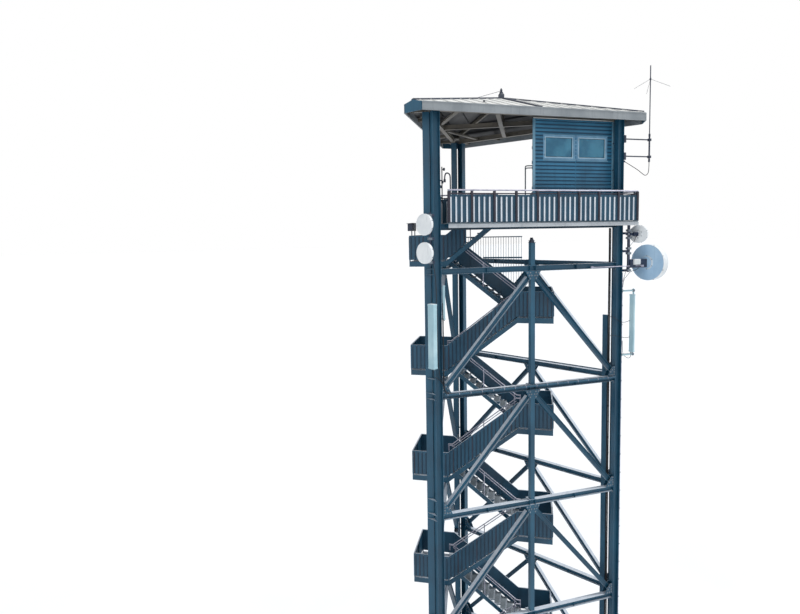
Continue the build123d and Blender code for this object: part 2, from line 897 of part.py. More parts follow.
keep("front_railing", [stair_frame * s for s in railing_run(edge_front_start, edge_front_end)])
right_runs = railing_run(corner_start, corner_end) + railing_run(mirror_end, mirror_start)
keep("right_railing", [stair_frame * s for s in right_runs])
left_runs = railing_run((left_x, left_y1), (left_x, left_y0))
left_runs += railing_run((left_x, -left_y0), (left_x, -left_y1))
keep("left_railing", [stair_frame * s for s in left_runs])
well_y = stair_half_width + 50
well_front = railing_run((left_x + 120, -well_y), (stair_gap_front - 60, -well_y))
well_back = railing_run((stair_gap_back - 60, well_y), (left_x + 120, well_y))
well_end = railing_run((stair_gap_back + 40, 40), (stair_gap_back + 40, well_y - 60))
well_middle = railing_run((stair_gap_front - 60, 40), (stair_gap_back + 160, 40))
keep("stair_opening_railing", [stair_frame * s for s in well_front + well_back + well_end + well_middle])


# Cabin, in the stair's frame
cabin_base = deck_height
cabin_floor_height = deck_height + cabin_floor_rise
cabin_top = eave_height + roof_beam_lift - cabin_ceiling
cabin_apex = side_height - 2 * cabin_inset


def cabin_triangle(inset):
    """Corners of the cabin's plan, moved inwards: front, apex, back."""
    left = cabin_left + inset
    apex = cabin_apex - 2 * inset
    half = (apex - left) / math.sqrt(3)
    return [(left, -half), (apex, 0), (left, half)]


def cabin_walls():
    outer = cabin_triangle(0)
    inner = cabin_triangle(cabin_wall)
    walls = []
    for k in range(3):
        m = (k + 1) % 3
        face = make_face(Polyline(outer[k], outer[m], inner[m], inner[k], close=True))
        walls.append(extrude(Pos(0, 0, cabin_base) * face, amount=cabin_top - cabin_base))
    return walls


def front_wall_place():
    """Frame of the front wall: X along it from the left corner, Y inwards."""
    x, y = cabin_triangle(0)[0]
    return Location((x, y, 0), (0, 0, 30))


def door_wall_place():
    """Frame of the door wall: X along it from the back corner, Y inwards."""
    x, y = cabin_triangle(0)[2]
    return Location((x, y, 0), (0, 0, -90))


cabin_side = (cabin_apex - cabin_left) / math.cos(math.radians(30))
sill_height = cabin_floor_height + window_sill
window_right = cabin_side - window_corner
window_spans = [
    (window_right - 2 * window_width - window_gap, window_right - window_width - window_gap),
    (window_right - window_width, window_right),
]
door_from_back = cabin_side / 2 - door_centre
door_top = cabin_floor_height + door_height
door_span = (door_from_back - door_width / 2, door_from_back + door_width / 2)
side_window_span = (cabin_side - window_corner - 1050, cabin_side - window_corner - 150)


def window_cut(span):
    return block(span[0], span[1], -50, cabin_wall + 50, sill_height, sill_height + window_height)


def window_frame_shape(span):
    z0 = sill_height
    z1 = sill_height + window_height
    f = window_frame
    y0 = -window_frame_proud
    y1 = y0 + window_frame_depth
    outer = block(span[0], span[1], y0, y1, z0, z1)
    return outer - block(span[0] + f, span[1] - f, y0 - 1, y1 + 1, z0 + f, z1 - f)


def window_pane(span):
    f = window_frame
    y = cabin_wall / 2 - glass_thickness / 2
    z0 = sill_height + f
    z1 = sill_height + window_height - f
    return block(span[0] + f, span[1] - f, y, y + glass_thickness, z0, z1)


front_wall, back_wall, door_wall = cabin_walls()
wall_frame = front_wall_place()
door_frame = door_wall_place()
frames = []
panes = []
for span in window_spans:
    cut = wall_frame * window_cut(span)
    front_wall = front_wall - cut
    back_wall = back_wall - cut.mirror(Plane.XZ)
    frame_shape = wall_frame * window_frame_shape(span)
    pane = wall_frame * window_pane(span)
    frames += [frame_shape, frame_shape.mirror(Plane.XZ)]
    panes += [pane, pane.mirror(Plane.XZ)]
door_wall = door_wall - door_frame * window_cut(side_window_span)
frames.append(door_frame * window_frame_shape(side_window_span))
panes.append(door_frame * window_pane(side_window_span))
door_cut = block(
    door_span[0], door_span[1], -50, cabin_wall + 50, cabin_floor_height, door_top)
door_wall = door_wall - door_frame * door_cut
door = door_frame * block(
    door_span[0], door_span[1], door_set, door_set + door_leaf, cabin_floor_height, door_top)
keep("cabin_front_wall", stair_frame * front_wall)
keep("cabin_back_wall", stair_frame * back_wall)
keep("cabin_door_wall", stair_frame * door_wall)
keep("window_frames", [stair_frame * s for s in frames])
keep("window_panes", [stair_frame * s for s in panes])
keep("cabin_door", stair_frame * door)

floor_face = make_face(Polyline(*cabin_triangle(cabin_wall), close=True))
floor_low = cabin_floor_height - cabin_floor_thickness
keep("cabin_floor", stair_frame * extrude(Pos(0, 0, floor_low) * floor_face, amount=cabin_floor_thickness))
ceiling_face = make_face(Polyline(*cabin_triangle(0), close=True))
keep("cabin_ceiling", stair_frame * extrude(Pos(0, 0, cabin_top) * ceiling_face, amount=cabin_ceiling))


# Short brackets between the cabin and the right column
ties = []
for lift in bracket_lifts:
    x = side_length - bracket_reach
    z = deck_height + lift
    half = bracket_height / 2
    bracket = block(x, x + bracket_width, column_width / 2, cabin_inset, z - half, z + half)
    ties.append(bracket)
    other = (stair_frame.inverse() * bracket).mirror(Plane.XZ)
    ties.append(stair_frame * other)
keep("cabin_brackets", ties)


# Steps from the deck up to the cabin door, with a handrail on each side
def cabin_step_shapes():
    rise = cabin_floor_rise / cabin_steps
    run = (cabin_steps - 1) * cabin_step_going
    y0 = door_centre - step_width / 2
    y1 = door_centre + step_width / 2
    x_low = cabin_left - run - step_top
    outline = [
        (x_low, deck_height),
        (x_low + step_foot, deck_height),
        (cabin_left, cabin_floor_height - step_drop),
        (cabin_left, cabin_floor_height),
        (cabin_left - step_top, cabin_floor_height),
    ]
    face = Plane.XZ * make_face(Polyline(*outline, close=True))
    stringer = extrude(face, amount=-step_stringer)
    shapes = [Pos(0, y0, 0) * stringer, Pos(0, y1 - step_stringer, 0) * stringer]
    for k in range(1, cabin_steps):
        z = deck_height + k * rise
        x0 = x_low + step_top + k * cabin_step_going - cabin_tread
        low = z - cabin_tread_thickness
        shapes.append(block(x0, x0 + cabin_tread, y0 + step_stringer, y1 - step_stringer, low, z))
    top = cabin_floor_height + step_rail_lift
    for y in (y0 - step_rail_side, y1 + step_rail_side):
        x = cabin_left - step_rail_back
        points = [(x, y, deck_height), (x, y, top), (cabin_left, y, top)]
        rail = tube_run(points, handrail_diameter)
        shapes.append(rail)
    return shapes


keep("cabin_steps", [stair_frame * s for s in cabin_step_shapes()])


# Roof: three planes that meet in hips, with the corners cut off
roof_edge = eave_height + roof_fascia_height
eave_left = -roof_overhang * math.sqrt(3) + roof_corner
eave_right = side_length - eave_left
apex_rise = roof_slope * (side_height / 3 + roof_overhang)
roof_apex = roof_edge + apex_rise


def roof_point(x, y):
    """A point of the front roof plane over a plan point."""
    return Vector(x, y, roof_edge + roof_slope * (y + roof_overhang))


corner_y = -roof_overhang + roof_corner * math.sqrt(3) / 4
corner_x = -roof_overhang * math.sqrt(3) + roof_corner * 0.75
hip_left = roof_point(corner_x, corner_y)
hip_right = roof_point(side_length - corner_x, corner_y)
apex_point = Vector(side_length / 2, side_height / 3, roof_apex)
eave_points = [roof_point(eave_left, -roof_overhang), roof_point(eave_right, -roof_overhang)]
plane_outline = [eave_points[0], eave_points[1], hip_right, apex_point, hip_left]
plane_face = make_face(Polyline(*plane_outline, close=True))
roof_plane = extrude(plane_face, amount=roof_sheet, dir=(0, 0, -1))
roof_planes = [roof_plane] + turned([roof_plane], 1) + turned([roof_plane], 2)
keep("roof_sheets", roof_planes)


def corner_board():
    """Across a cut-off corner, up to the hip."""
    peak = hip_left.Z - roof_edge
    half = roof_corner / 2
    outline = [
        (-half, eave_height),
        (half, eave_height),
        (half, roof_edge),
        (0, roof_edge + peak),
        (-half, roof_edge),
    ]
    face = Plane.XZ * make_face(Polyline(*outline, close=True))
    board = extrude(face, amount=roof_board)
    return Location((corner_x, corner_y, 0), (0, 0, -60)) * board


board_face = -roof_overhang - roof_board
board = block(eave_left, eave_right, board_face, -roof_overhang, eave_height, roof_edge)
keep("roof_fascia", [board] + turned([board], 1) + turned([board], 2))
board = corner_board()
keep("roof_corner_boards", [board] + turned([board], 1) + turned([board], 2))


def ridge_cap():
    """A folded strip on a hip, from its corner to the top."""
    hip = apex_point - hip_left
    cross_slope = roof_slope * math.cos(math.radians(30))
    w = cap_half_width
    drop = w * cross_slope
    outline = [
        (-w, -drop), (0, 0), (w, -drop),
        (w, cap_thickness - drop), (0, cap_thickness), (-w, cap_thickness - drop),
    ]
    flat = Vector(hip.X, hip.Y, 0)
    plane = Plane(origin=hip_left, x_dir=Vector(0, 0, 1).cross(flat), z_dir=flat)
    face = plane * make_face(Polyline(*outline, close=True))
    return extrude(face, amount=hip.length - cap_short, dir=hip)


def middle_cap():
    """A strip down the middle of a roof plane."""
    top = roof_point(side_length / 2, side_height / 3 - middle_cap_short)
    low = roof_point(side_length / 2, -roof_overhang)
    plane = Plane(origin=low, x_dir=(1, 0, 0), z_dir=(top - low))
    lift = Rectangle(middle_cap_width, cap_thickness, align=(Align.CENTER, Align.MAX))
    return extrude(plane * lift, amount=(top - low).length)


caps = [ridge_cap(), middle_cap()]
keep("ridge_caps", caps + turned(caps, 1) + turned(caps, 2))

centre_x = side_length / 2
centre_y = side_height / 3
mast_base = roof_apex - roof_sheet * 0.8
upright = (Align.CENTER, Align.CENTER, Align.MIN)
roof_cap = Pos(centre_x, centre_y, mast_base) * Cylinder(roof_cap_radius, roof_cap_height, align=upright)
rod_foot = mast_base + roof_cap_height
roof_rod = Pos(centre_x, centre_y, rod_foot) * Cylinder(roof_rod_radius, roof_rod_height, align=upright)
mast = roof_cap + roof_rod
for sheet in roof_planes:
    mast = mast - sheet
keep("roof_mast", mast)


def rafter_and_cleat():
    """A rafter under the hip, with the cleat that stands on the corner plate."""
    hip = apex_point - hip_left
    flat = Vector(hip.X, hip.Y, 0)
    half = rafter_width / 2
    shoulder = half * roof_slope * math.cos(math.radians(30))
    top = -roof_sheet
    outline = [
        (-half, top - shoulder - rafter_depth),
        (half, top - shoulder - rafter_depth),
        (half, top - shoulder),
        (0, top),
        (-half, top - shoulder),
    ]
    plane = Plane(origin=hip_left, x_dir=Vector(0, 0, 1).cross(flat), z_dir=flat)
    rafter = extrude(plane * make_face(Polyline(*outline, close=True)), amount=hip.length, dir=hip)
    x = cleat_reach * math.cos(math.radians(30))
    place = Location((x, cleat_reach / 2, ring_top + corner_plate), (0, 0, 30))
    cleat = place * Box(cleat_length, rafter_width, cleat_height, align=upright)
    return rafter + cleat


def ring_corner():
    """A plate over the ends of two ring beams."""
    half = roof_beam_width / 2
    line = [(ring_plate_near, -half), (ring_plate_far, -half), (ring_plate_far, half)]
    c = math.cos(math.radians(60))
    s = math.sin(math.radians(60))
    other = [(x * c + y * s, x * s - y * c) for x, y in reversed(line)]
    face = make_face(Polyline(*(line + other), close=True))
    return extrude(Pos(0, 0, ring_top) * face, amount=corner_plate)


def plan_braces(z):
    """Flat bars in the roof's plan, from the left ring beam to the other two."""
    bar = Rectangle(plan_brace_depth, plan_brace_width)
    start = (0, -plan_brace_start, z)
    end = (plan_brace_run, -side_length / 2 - 100, z)
    front_line = stair_frame * run_bar(bar, start, end, (0, 0, 1))
    ring = Pos(side_length / 2, 0, z) * Box(2 * side_length, beam_web, roof_beam_depth)
    beyond = Pos(side_length / 2, -side_length / 2, z) * Box(2 * side_length, side_length, roof_beam_depth)
    front_line = front_line - ring - beyond - turned([ring], 2)[0]
    brace = max(front_line.solids(), key=lambda solid: solid.volume)
    other = (stair_frame.inverse() * brace).mirror(Plane.XZ)
    return [brace, stair_frame * other]


def roof_frame():
    z = eave_height + roof_beam_lift + roof_beam_depth / 2
    profile = h_profile(roof_beam_depth, roof_beam_width, beam_flange, beam_web)
    start = column_offset - half_column
    ring = run_bar(profile, (start, 0, z), (side_length - start, 0, z), (0, 0, 1))
    shapes = [ring] + turned([ring], 1) + turned([ring], 2)
    half = roof_beam_width / 2
    axis_end = side_height - 2 * half - 260
    axis_beam = run_bar(profile, (half, 0, z), (axis_end, 0, z), (0, 0, 1))
    cross_x = side_height / 3
    clear = half / math.cos(math.radians(30)) + 45
    cross_y = cross_x / math.sqrt(3) - side_length / 2 + clear
    cross_a = run_bar(profile, (cross_x, cross_y, z), (cross_x, -half, z), (0, 0, 1))
    cross_b = run_bar(profile, (cross_x, half, z), (cross_x, -cross_y, z), (0, 0, 1))
    shapes += [stair_frame * s for s in (axis_beam, cross_a, cross_b)]
    corner = ring_corner()
    shapes += [corner] + turned([corner], 1) + turned([corner], 2)
    hub_height = roof_apex - roof_sheet - ring_top
    hub = Pos(centre_x, centre_y, ring_top) * Box(roof_hub, roof_hub, hub_height, align=upright)
    for sheet in roof_planes:
        hub = hub - sheet
    shapes.append(hub)
    rafter = rafter_and_cleat() - hub
    for sheet in roof_planes:
        rafter = rafter - sheet
    rafter = max(rafter.solids(), key=lambda solid: solid.volume)
    for k in range(3):
        shapes.append(turned([rafter], k)[0] - hub)
    shapes += plan_braces(z)
    w = outrigger_width / 2
    top = roof_edge - roof_sheet
    arms = []
    quarter = side_length / 4
    for x in (column_offset, quarter, 2 * quarter, 3 * quarter, side_length - column_offset):
        arms.append(block(x - w, x + w, -roof_overhang, -half, top - outrigger_depth, top))
    shapes += arms + turned(arms, 1) + turned(arms, 2)
    return shapes


ring_top = eave_height + roof_beam_lift + roof_beam_depth
keep("roof_frame", roof_frame())


# Equipment on the columns
def dish(diameter, depth):
    """A drum dish that looks along X, as hub, reflector, shroud and radome."""
    r = diameter / 2
    t = dish_shell
    near = r * dish_hub
    back = hub_depth + t + dish_shell / 2
    hub = [(0, 0), (near, 0), (near, hub_depth), (0, hub_depth)]
    reflector = [
        (0, hub_depth), (near, hub_depth), (r - t, back),
        (r - t, back + t), (near, hub_depth + t), (0, hub_depth + t),
    ]
    shroud = [(r - t, back), (r, back), (r, depth), (r - t, depth)]
    top = depth + dish_bulge
    shoulder = depth + dish_bulge * 0.85
    radome = [
        (0, top - t), (r * 0.5, shoulder - t), (r - t, depth), (r, depth),
        (r * 0.96, depth + t), (r * 0.5, shoulder), (0, top),
    ]
    shapes = []
    for outline in (hub, reflector, shroud, radome):
        face = Plane.XZ * make_face(Polyline(*outline, close=True))
        shapes.append(Rot(0, 90, 0) * revolve(face, Axis.Z, 360))
    return shapes


def pipe_and_dishes(shape, extras, dishes):
    """A pipe joined to its clips and arms, and the parts of its dishes."""
    for extra in extras:
        shape = shape + extra
    loose = []
    for place, body in dishes:
        loose += [place * part for part in body]
    for part in loose:
        shape = shape - part
    return shape.solids(), loose


def left_dishes():
    px, py = left_pipe
    low, high = left_pipe_span
    pipe = Pos(px, py, top_level + low) * Cylinder(left_pipe_radius, high - low, align=upright)
    near = column_offset - half_column
    half = clip_width / 2
    extras = []
    for lift in left_clip_heights:
        z = top_level + lift
        extras.append(block(px, near, py - left_pipe_radius + 8, column_face_back, z - half, z + half))
    length, width, height = left_arm
    turn = math.radians(left_dish_turn)
    reach = length - 10
    dishes = []
    for lift in left_dish_heights:
        z = top_level + lift
        arm = Location((px, py, z), (0, 0, left_dish_turn))
        extras.append(arm * block(0, length, -width / 2, width / 2, -height / 2, height / 2))
        spot = (px + reach * math.cos(turn), py + reach * math.sin(turn), z)
        drum = dish(left_dish_diameter, left_dish_depth)
        dishes.append((Location(spot, (0, 0, left_dish_turn)), drum))
    return pipe_and_dishes(pipe, extras, dishes)


def right_dishes():
    px = side_length + right_pipe[0]
    py = right_pipe[1]
    low = top_level + right_pipe_low
    high = deck_height - deck_plate
    pipe = Pos(px, py, low) * Cylinder(right_pipe_radius, high - low, align=upright)
    face = side_length - column_offset + half_column
    half = clip_width / 2
    extras = []
    for lift in right_clip_heights:
        z = top_level + lift
        extras.append(block(face, px, py - 30, column_face_back - 15, z - half, z + half))
    z0, z1 = large_arm_span
    far = side_length + large_arm_reach
    extras.append(block(px, far, py - arm_side, py + 60, top_level + z0, top_level + z1))
    z = top_level + small_dish_place[2] - small_arm_height / 2
    extras.append(block(px, side_length + small_arm_reach, py - arm_side, py, z, z + small_arm_height))
    dishes = []
    for spot, turn, diameter, depth in (
            (large_dish_place, large_dish_turn, large_dish_diameter, large_dish_depth),
            (small_dish_place, small_dish_turn, small_dish_diameter, small_dish_depth)):
        place = Location((side_length + spot[0], spot[1], top_level + spot[2]), (0, 0, turn))
        dishes.append((place, dish(diameter, depth)))
    return pipe_and_dishes(pipe, extras, dishes)


column_face_back = -45      # the clips reach this far behind the front of the column
left_mount, left_drums = left_dishes()
right_mount, right_drums = right_dishes()
keep("left_dishes", left_drums)
keep("right_dishes", right_drums)
keep("dish_mounts", list(left_mount) + list(right_mount))


def panel_antenna(x, y, turn, size, span):
    """A slender case with rounded edges, its front along X before it is turned."""
    face = RectangleRounded(size[0], size[1], antenna_round)
    return Location((x, y, top_level + span[0]), (0, 0, turn)) * extrude(face, amount=span[1] - span[0])


def antenna_clips(heights, x0, x1, y0, y1, half):
    return [block(x0, x1, y0, y1, top_level + h - half, top_level + h + half) for h in heights]


def panel_antennas():
    left_face = column_offset - half_column
    x, y = left_antenna
    left = panel_antenna(x, y, 205, left_antenna_size, left_antenna_span)
    for clip in antenna_clips(left_antenna_clips, x + 45, left_face, -230, -70, 35):
        left = left + clip
    right_face = side_length - left_face
    x = side_length + right_antenna[0]
    right = panel_antenna(x, right_antenna[1], 205, right_antenna_size, right_antenna_span)
    pole_x = side_length + right_antenna_pole[0]
    low, high = right_pole_span
    right = right + Pos(pole_x, right_antenna_pole[1], top_level + low) * Cylinder(
        right_pole_radius, high - low, align=upright)
    for clip in antenna_clips(right_antenna_clips, right_face, pole_x, -190, -75, 25):
        right = right + clip
    x = column_face + inner_antenna_stand
    inner = panel_antenna(x, 0, 270, inner_antenna_size, inner_antenna_span)
    for clip in antenna_clips(inner_antenna_clips, column_face, x, -20, 20, 20):
        inner = inner + clip
    return [left, right, inner]


keep("panel_antennas", panel_antennas())


def whip_mast():
    """A long whip antenna on two arms from the right column."""
    x = side_length + whip_place[0]
    y = whip_place[1]
    foot = top_level + whip_foot
    shape = Pos(x, y, foot) * Cylinder(whip_diameter / 2, whip_tube, align=upright)
    tip = Cylinder(whip_tip_diameter / 2, whip_height - whip_tube, align=upright)
    shape = shape + Pos(x, y, foot + whip_tube) * tip
    face = side_length - column_offset + half_column
    half = whip_arm / 2
    for lift in whip_arms:
        z = foot + lift
        shape = shape + block(face, x + whip_diameter / 2, y - half, y + half, z - half, z + half)
    return shape


keep("whip_mast", whip_mast())


# Cable ladders on the second beams, and the cable duct beside the right column
def cable_ladder():
    inner = -beam_width / 2
    outer = inner - ladder_width
    z0 = level_heights[1] + beam_depth / 2 - ladder_drop
    z1 = z0 + ladder_rail
    x0 = column_face + ladder_rail
    x1 = side_length - column_face - ladder_rail
    t = ladder_flat
    shape = block(x0, x1, inner - t, inner, z0, z1) + block(x0, x1, outer, outer + t, z0, z1)
    wide, thick = ladder_rung
    first = x0 + ladder_rail
    count = int((x1 - first) // ladder_pitch)
    for k in range(count + 1):
        x = first + k * ladder_pitch
        shape = shape + block(x, x + wide, outer, inner, z0, z0 + thick)
    return shape


ladder = cable_ladder()
x = duct_place
y = beam_width / 2
wide, deep = duct_size
top = top_level + duct_top
duct = block(x, x + wide, y, y + deep, base_plate_thickness, top)
duct = duct - block(x + duct_wall, x + wide - duct_wall, y, y + deep - duct_wall, 0, top - duct_wall)
keep("cable_ways", [ladder] + turned([ladder, duct], 1))

for name, shape in nodes.items():
    export_step(shape, f"parts/{name}.step")
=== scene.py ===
import bpy
import math
from mathutils import Matrix, Vector


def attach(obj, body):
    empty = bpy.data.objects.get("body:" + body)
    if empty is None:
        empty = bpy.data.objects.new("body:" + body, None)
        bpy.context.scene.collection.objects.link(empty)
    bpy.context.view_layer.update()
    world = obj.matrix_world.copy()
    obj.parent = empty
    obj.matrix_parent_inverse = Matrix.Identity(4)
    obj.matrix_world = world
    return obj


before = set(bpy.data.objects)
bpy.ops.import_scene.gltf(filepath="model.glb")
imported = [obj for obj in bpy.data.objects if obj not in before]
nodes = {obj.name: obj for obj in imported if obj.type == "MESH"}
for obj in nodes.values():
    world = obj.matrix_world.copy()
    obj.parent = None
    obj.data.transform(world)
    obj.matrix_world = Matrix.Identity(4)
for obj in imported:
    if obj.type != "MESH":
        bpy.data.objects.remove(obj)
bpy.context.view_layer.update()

# Fire lookout tower. The steel, deck, cabin and roof come from the CAD frame, and this
# script dresses them: finishes, cabin cladding, seams, bolts, cables and fittings.
# Metres, X along the front side, Z up.

scene = bpy.context.scene
scene.view_settings.view_transform = "Standard"

# plan of the tower, as in the CAD source
plan = {
    "side": 7.8,                          # between the corner points of the lattice
    "footX": 0.26625, "footY": 0.15372,   # from the left corner point to the frame's origin
    "storey": 4.2, "storeys": 6, "topBeams": 25.0, "deck": 26.6,
}
plan["height"] = plan["side"] * math.sqrt(3) / 2
middle = plan["side"] / 2
cos30, sin30, tan30 = (way(math.radians(30)) for way in (math.cos, math.sin, math.tan))


def at(x, y, z, turn=0):
    return Matrix.Translation((x, y, z)) @ Matrix.Rotation(math.radians(turn), 4, "Z")


frontFrame = at(-plan["footX"], -plan["footY"], 0)
stairFrame = frontFrame @ at(plan["side"] / 4, plan["height"] / 2, 0, -30)
centrePoint = Vector((middle - plan["footX"], plan["height"] / 3 - plan["footY"], 0))
# the front side's frame, then the same on the right side and on the left side
sides = [at(*centrePoint, 120 * k) @ Matrix.Translation(-centrePoint) @ frontFrame for k in range(3)]
mirrorSide = at(plan["side"], 0, 0) @ Matrix.Diagonal((-1, 1, 1, 1))
flipStair = stairFrame @ Matrix.Diagonal((1, -1, 1, 1)) @ stairFrame.inverted()

# the camera stands where the picture was taken, level with the deck
cameraLook = {"place": (-6.7393, -17.9980, 26.3681), "yaw": -17.2356, "pitch": -4.5375, "roll": -0.9552,
              "lens": 26.055, "sensor": 36, "shiftX": 0.0009, "shiftY": -0.0375, "far": 3000}
cameraData = bpy.data.cameras.new("photoCamera")
camera = bpy.data.objects.new("photoCamera", cameraData)
scene.collection.objects.link(camera)
cameraData.lens = cameraLook["lens"]
cameraData.sensor_width = cameraLook["sensor"]
cameraData.shift_x = cameraLook["shiftX"]
cameraData.shift_y = cameraLook["shiftY"]
cameraData.clip_end = cameraLook["far"]
camera.matrix_world = (at(*cameraLook["place"], cameraLook["yaw"])
                       @ Matrix.Rotation(math.radians(90 + cameraLook["pitch"]), 4, "X")
                       @ Matrix.Rotation(math.radians(cameraLook["roll"]), 4, "Z"))
scene.camera = camera


def addSun(name, azimuth, elevation, strength, softness):
    # azimuth from +X towards -Y, both in degrees
    lamp = bpy.data.lights.new(name, "SUN")
    lamp.energy = strength
    lamp.angle = math.radians(softness)
    holder = bpy.data.objects.new(name, lamp)
    scene.collection.objects.link(holder)
    a, e = math.radians(azimuth), math.radians(elevation)
    toSun = Vector((math.cos(e) * math.cos(a), -math.cos(e) * math.sin(a), math.sin(e)))
    holder.rotation_euler = toSun.to_track_quat("Z", "Y").to_euler()


addSun("keyLight", 14, 50, 2.3, 9)
addSun("fillLight", 120, 30, 0.55, 80)

# a soft sky lights the tower, and the camera, gloss and glass see plain white
world = bpy.data.worlds.new("studio")
scene.world = world
world.use_nodes = True
worldTree = world.node_tree
worldTree.nodes.clear()
softLight, seenWhite = [worldTree.nodes.new("ShaderNodeBackground") for k in range(2)]
softLight.inputs["Color"].default_value = (0.93, 0.96, 1.0, 1)
softLight.inputs["Strength"].default_value = 0.55
seenWhite.inputs["Color"].default_value = (1, 1, 1, 1)
seenWhite.inputs["Strength"].default_value = 1.0
rays = worldTree.nodes.new("ShaderNodeLightPath")
seen = rays.outputs["Is Camera Ray"]
for kind in ("Is Glossy Ray", "Is Transmission Ray"):
    either = worldTree.nodes.new("ShaderNodeMath")
    either.operation = "MAXIMUM"
    worldTree.links.new(seen, either.inputs[0])
    worldTree.links.new(rays.outputs[kind], either.inputs[1])
    seen = either.outputs[0]
blend = worldTree.nodes.new("ShaderNodeMixShader")
for source, socket in zip((seen, softLight.outputs[0], seenWhite.outputs[0]), blend.inputs):
    worldTree.links.new(source, socket)
worldTree.links.new(blend.outputs[0], worldTree.nodes.new("ShaderNodeOutputWorld").inputs[0])


# small helpers round Blender's own modelling tools
def clearSelection():
    if bpy.context.object and bpy.context.object.mode != "OBJECT":
        bpy.ops.object.mode_set(mode="OBJECT")
    bpy.ops.object.select_all(action="DESELECT")


def makeActive(piece):
    clearSelection()
    piece.select_set(True)
    bpy.context.view_layer.objects.active = piece


def applyPlace(piece):
    makeActive(piece)
    bpy.ops.object.transform_apply(location=True, rotation=True, scale=True)
    return piece


def startBox(low, high):
    clearSelection()
    bpy.ops.mesh.primitive_cube_add(size=1, location=[(a + b) / 2 for a, b in zip(low, high)])
    piece = bpy.context.object
    piece.scale = [b - a for a, b in zip(low, high)]
    return applyPlace(piece)


def startRod(radius, start, end, corners=16):
    clearSelection()
    start, end = Vector(start), Vector(end)
    bpy.ops.mesh.primitive_cylinder_add(vertices=corners, radius=radius, depth=(end - start).length)
    piece = bpy.context.object
    piece.rotation_euler = (end - start).to_track_quat("Z", "Y").to_euler()
    piece.location = (start + end) / 2
    return applyPlace(piece)


def pickFaces(piece, wanted):
    # selects the faces for which wanted(centre, normal) is true, and opens edit mode
    makeActive(piece)
    for part in list(piece.data.edges) + list(piece.data.vertices):
        part.select = False
    for face in piece.data.polygons:
        face.select = bool(wanted(face.center, face.normal))
    bpy.context.tool_settings.mesh_select_mode = (False, False, True)
    bpy.ops.object.mode_set(mode="EDIT")


def facing(axis, way=0):
    # for pickFaces: faces that look along the axis, or either way where way is 0
    if way:
        return lambda centre, normal: way * normal[axis] > 0.9
    return lambda centre, normal: abs(normal[axis]) > 0.9


toRight, toFront, toTop, toFoot = facing(0, 1), facing(1, -1), facing(2, 1), facing(2, -1)


def leaveEdit():
    bpy.ops.object.mode_set(mode="OBJECT")


def applyModifier(piece, kind, **values):
    makeActive(piece)
    modifier = piece.modifiers.new("step", kind)
    for key, value in values.items():
        setattr(modifier, key, value)
    bpy.ops.object.modifier_apply(modifier=modifier.name)
    return piece


def softenEdges(piece, width, segments=2):
    return applyModifier(piece, "BEVEL", width=width, segments=segments, limit_method="ANGLE",
                         angle_limit=math.radians(30))


def softBox(low, high, width, segments=2):
    return softenEdges(startBox(low, high), width, segments)


def softRod(radius, start, end, corners, width, segments=2):
    return softenEdges(startRod(radius, start, end, corners), width, segments)


def joined(name, pieces):
    clearSelection()
    for piece in pieces:
        piece.select_set(True)
    bpy.context.view_layer.objects.active = pieces[0]
    if len(pieces) > 1:
        bpy.ops.object.join()
    pieces[0].name = name
    return pieces[0]


def cutAway(piece, point, normal, fill=True):
    # keeps what lies behind the plane
    makeActive(piece)
    bpy.ops.object.mode_set(mode="EDIT")
    bpy.ops.mesh.select_all(action="SELECT")
    bpy.ops.mesh.bisect(plane_co=point, plane_no=normal, use_fill=fill, clear_outer=True)
    leaveEdit()
    return piece


def openThrough(piece, width, axis=1):
    # an opening through the two faces that lie across the axis
    pickFaces(piece, facing(axis))
    bpy.ops.mesh.inset(thickness=width, depth=0)
    bpy.ops.mesh.bridge_edge_loops()
    leaveEdit()
    return piece


def openFrame(low, high, width, axis=1):
    return openThrough(startBox(low, high), width, axis)


def raisePanel(piece, wanted, border, depth, each=True):
    # insets the picked faces, each on its own or all together, and pushes them out or in
    pickFaces(piece, wanted)
    bpy.ops.mesh.inset(thickness=border, depth=depth, use_individual=each)
    leaveEdit()
    return piece


def pushOut(piece, wanted, move, taper=None):
    # extrudes the picked faces, and tapers their new end
    pickFaces(piece, wanted)
    bpy.ops.mesh.extrude_region_move(TRANSFORM_OT_translate={"value": move})
    if taper:
        bpy.ops.transform.resize(value=taper)
    leaveEdit()
    return piece


def slideFaces(piece, wanted, move):
    pickFaces(piece, wanted)
    bpy.ops.transform.translate(value=move)
    leaveEdit()
    return piece


def copied(piece, name, places):
    # one piece with a copy of the model at each place, the model itself removed
    twins = []
    for place in places:
        twin = piece.copy()
        twin.data = piece.data.copy()
        twin.data.transform(place)
        if place.determinant() < 0:
            twin.data.flip_normals()
        scene.collection.objects.link(twin)
        twins.append(twin)
    bpy.data.objects.remove(piece)
    return joined(name, twins)


def finishPiece(piece, finish, angle):
    makeActive(piece)
    piece.data.materials.clear()
    piece.data.materials.append(finishes[finish])
    if angle:
        bpy.ops.object.shade_smooth_by_angle(angle=math.radians(angle))
    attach(piece, "root")


def addPiece(name, parts, places, finish, slotName, angle=35):
    # joins the parts, copies them to the places if there are any, and finishes the lot as one piece
    piece = joined(name, parts if isinstance(parts, list) else [parts])
    finishPiece(copied(piece, name, places) if places else piece, finish, angle)


# helpers for the materials' nodes
def tone(red, green, blue):
    # a colour as seen on screen, 0 to 255, to the numbers that nodes take
    values = [red / 255, green / 255, blue / 255]
    return [v / 12.92 if v <= 0.04045 else ((v + 0.055) / 1.055) ** 2.4 for v in values] + [1.0]


def setSockets(tree, pairs):
    # each socket gets its number or colour, or a link from another node
    for socket, value in pairs:
        if isinstance(value, (int, float, list, tuple)):
            socket.default_value = value
        else:
            tree.links.new(value, socket)


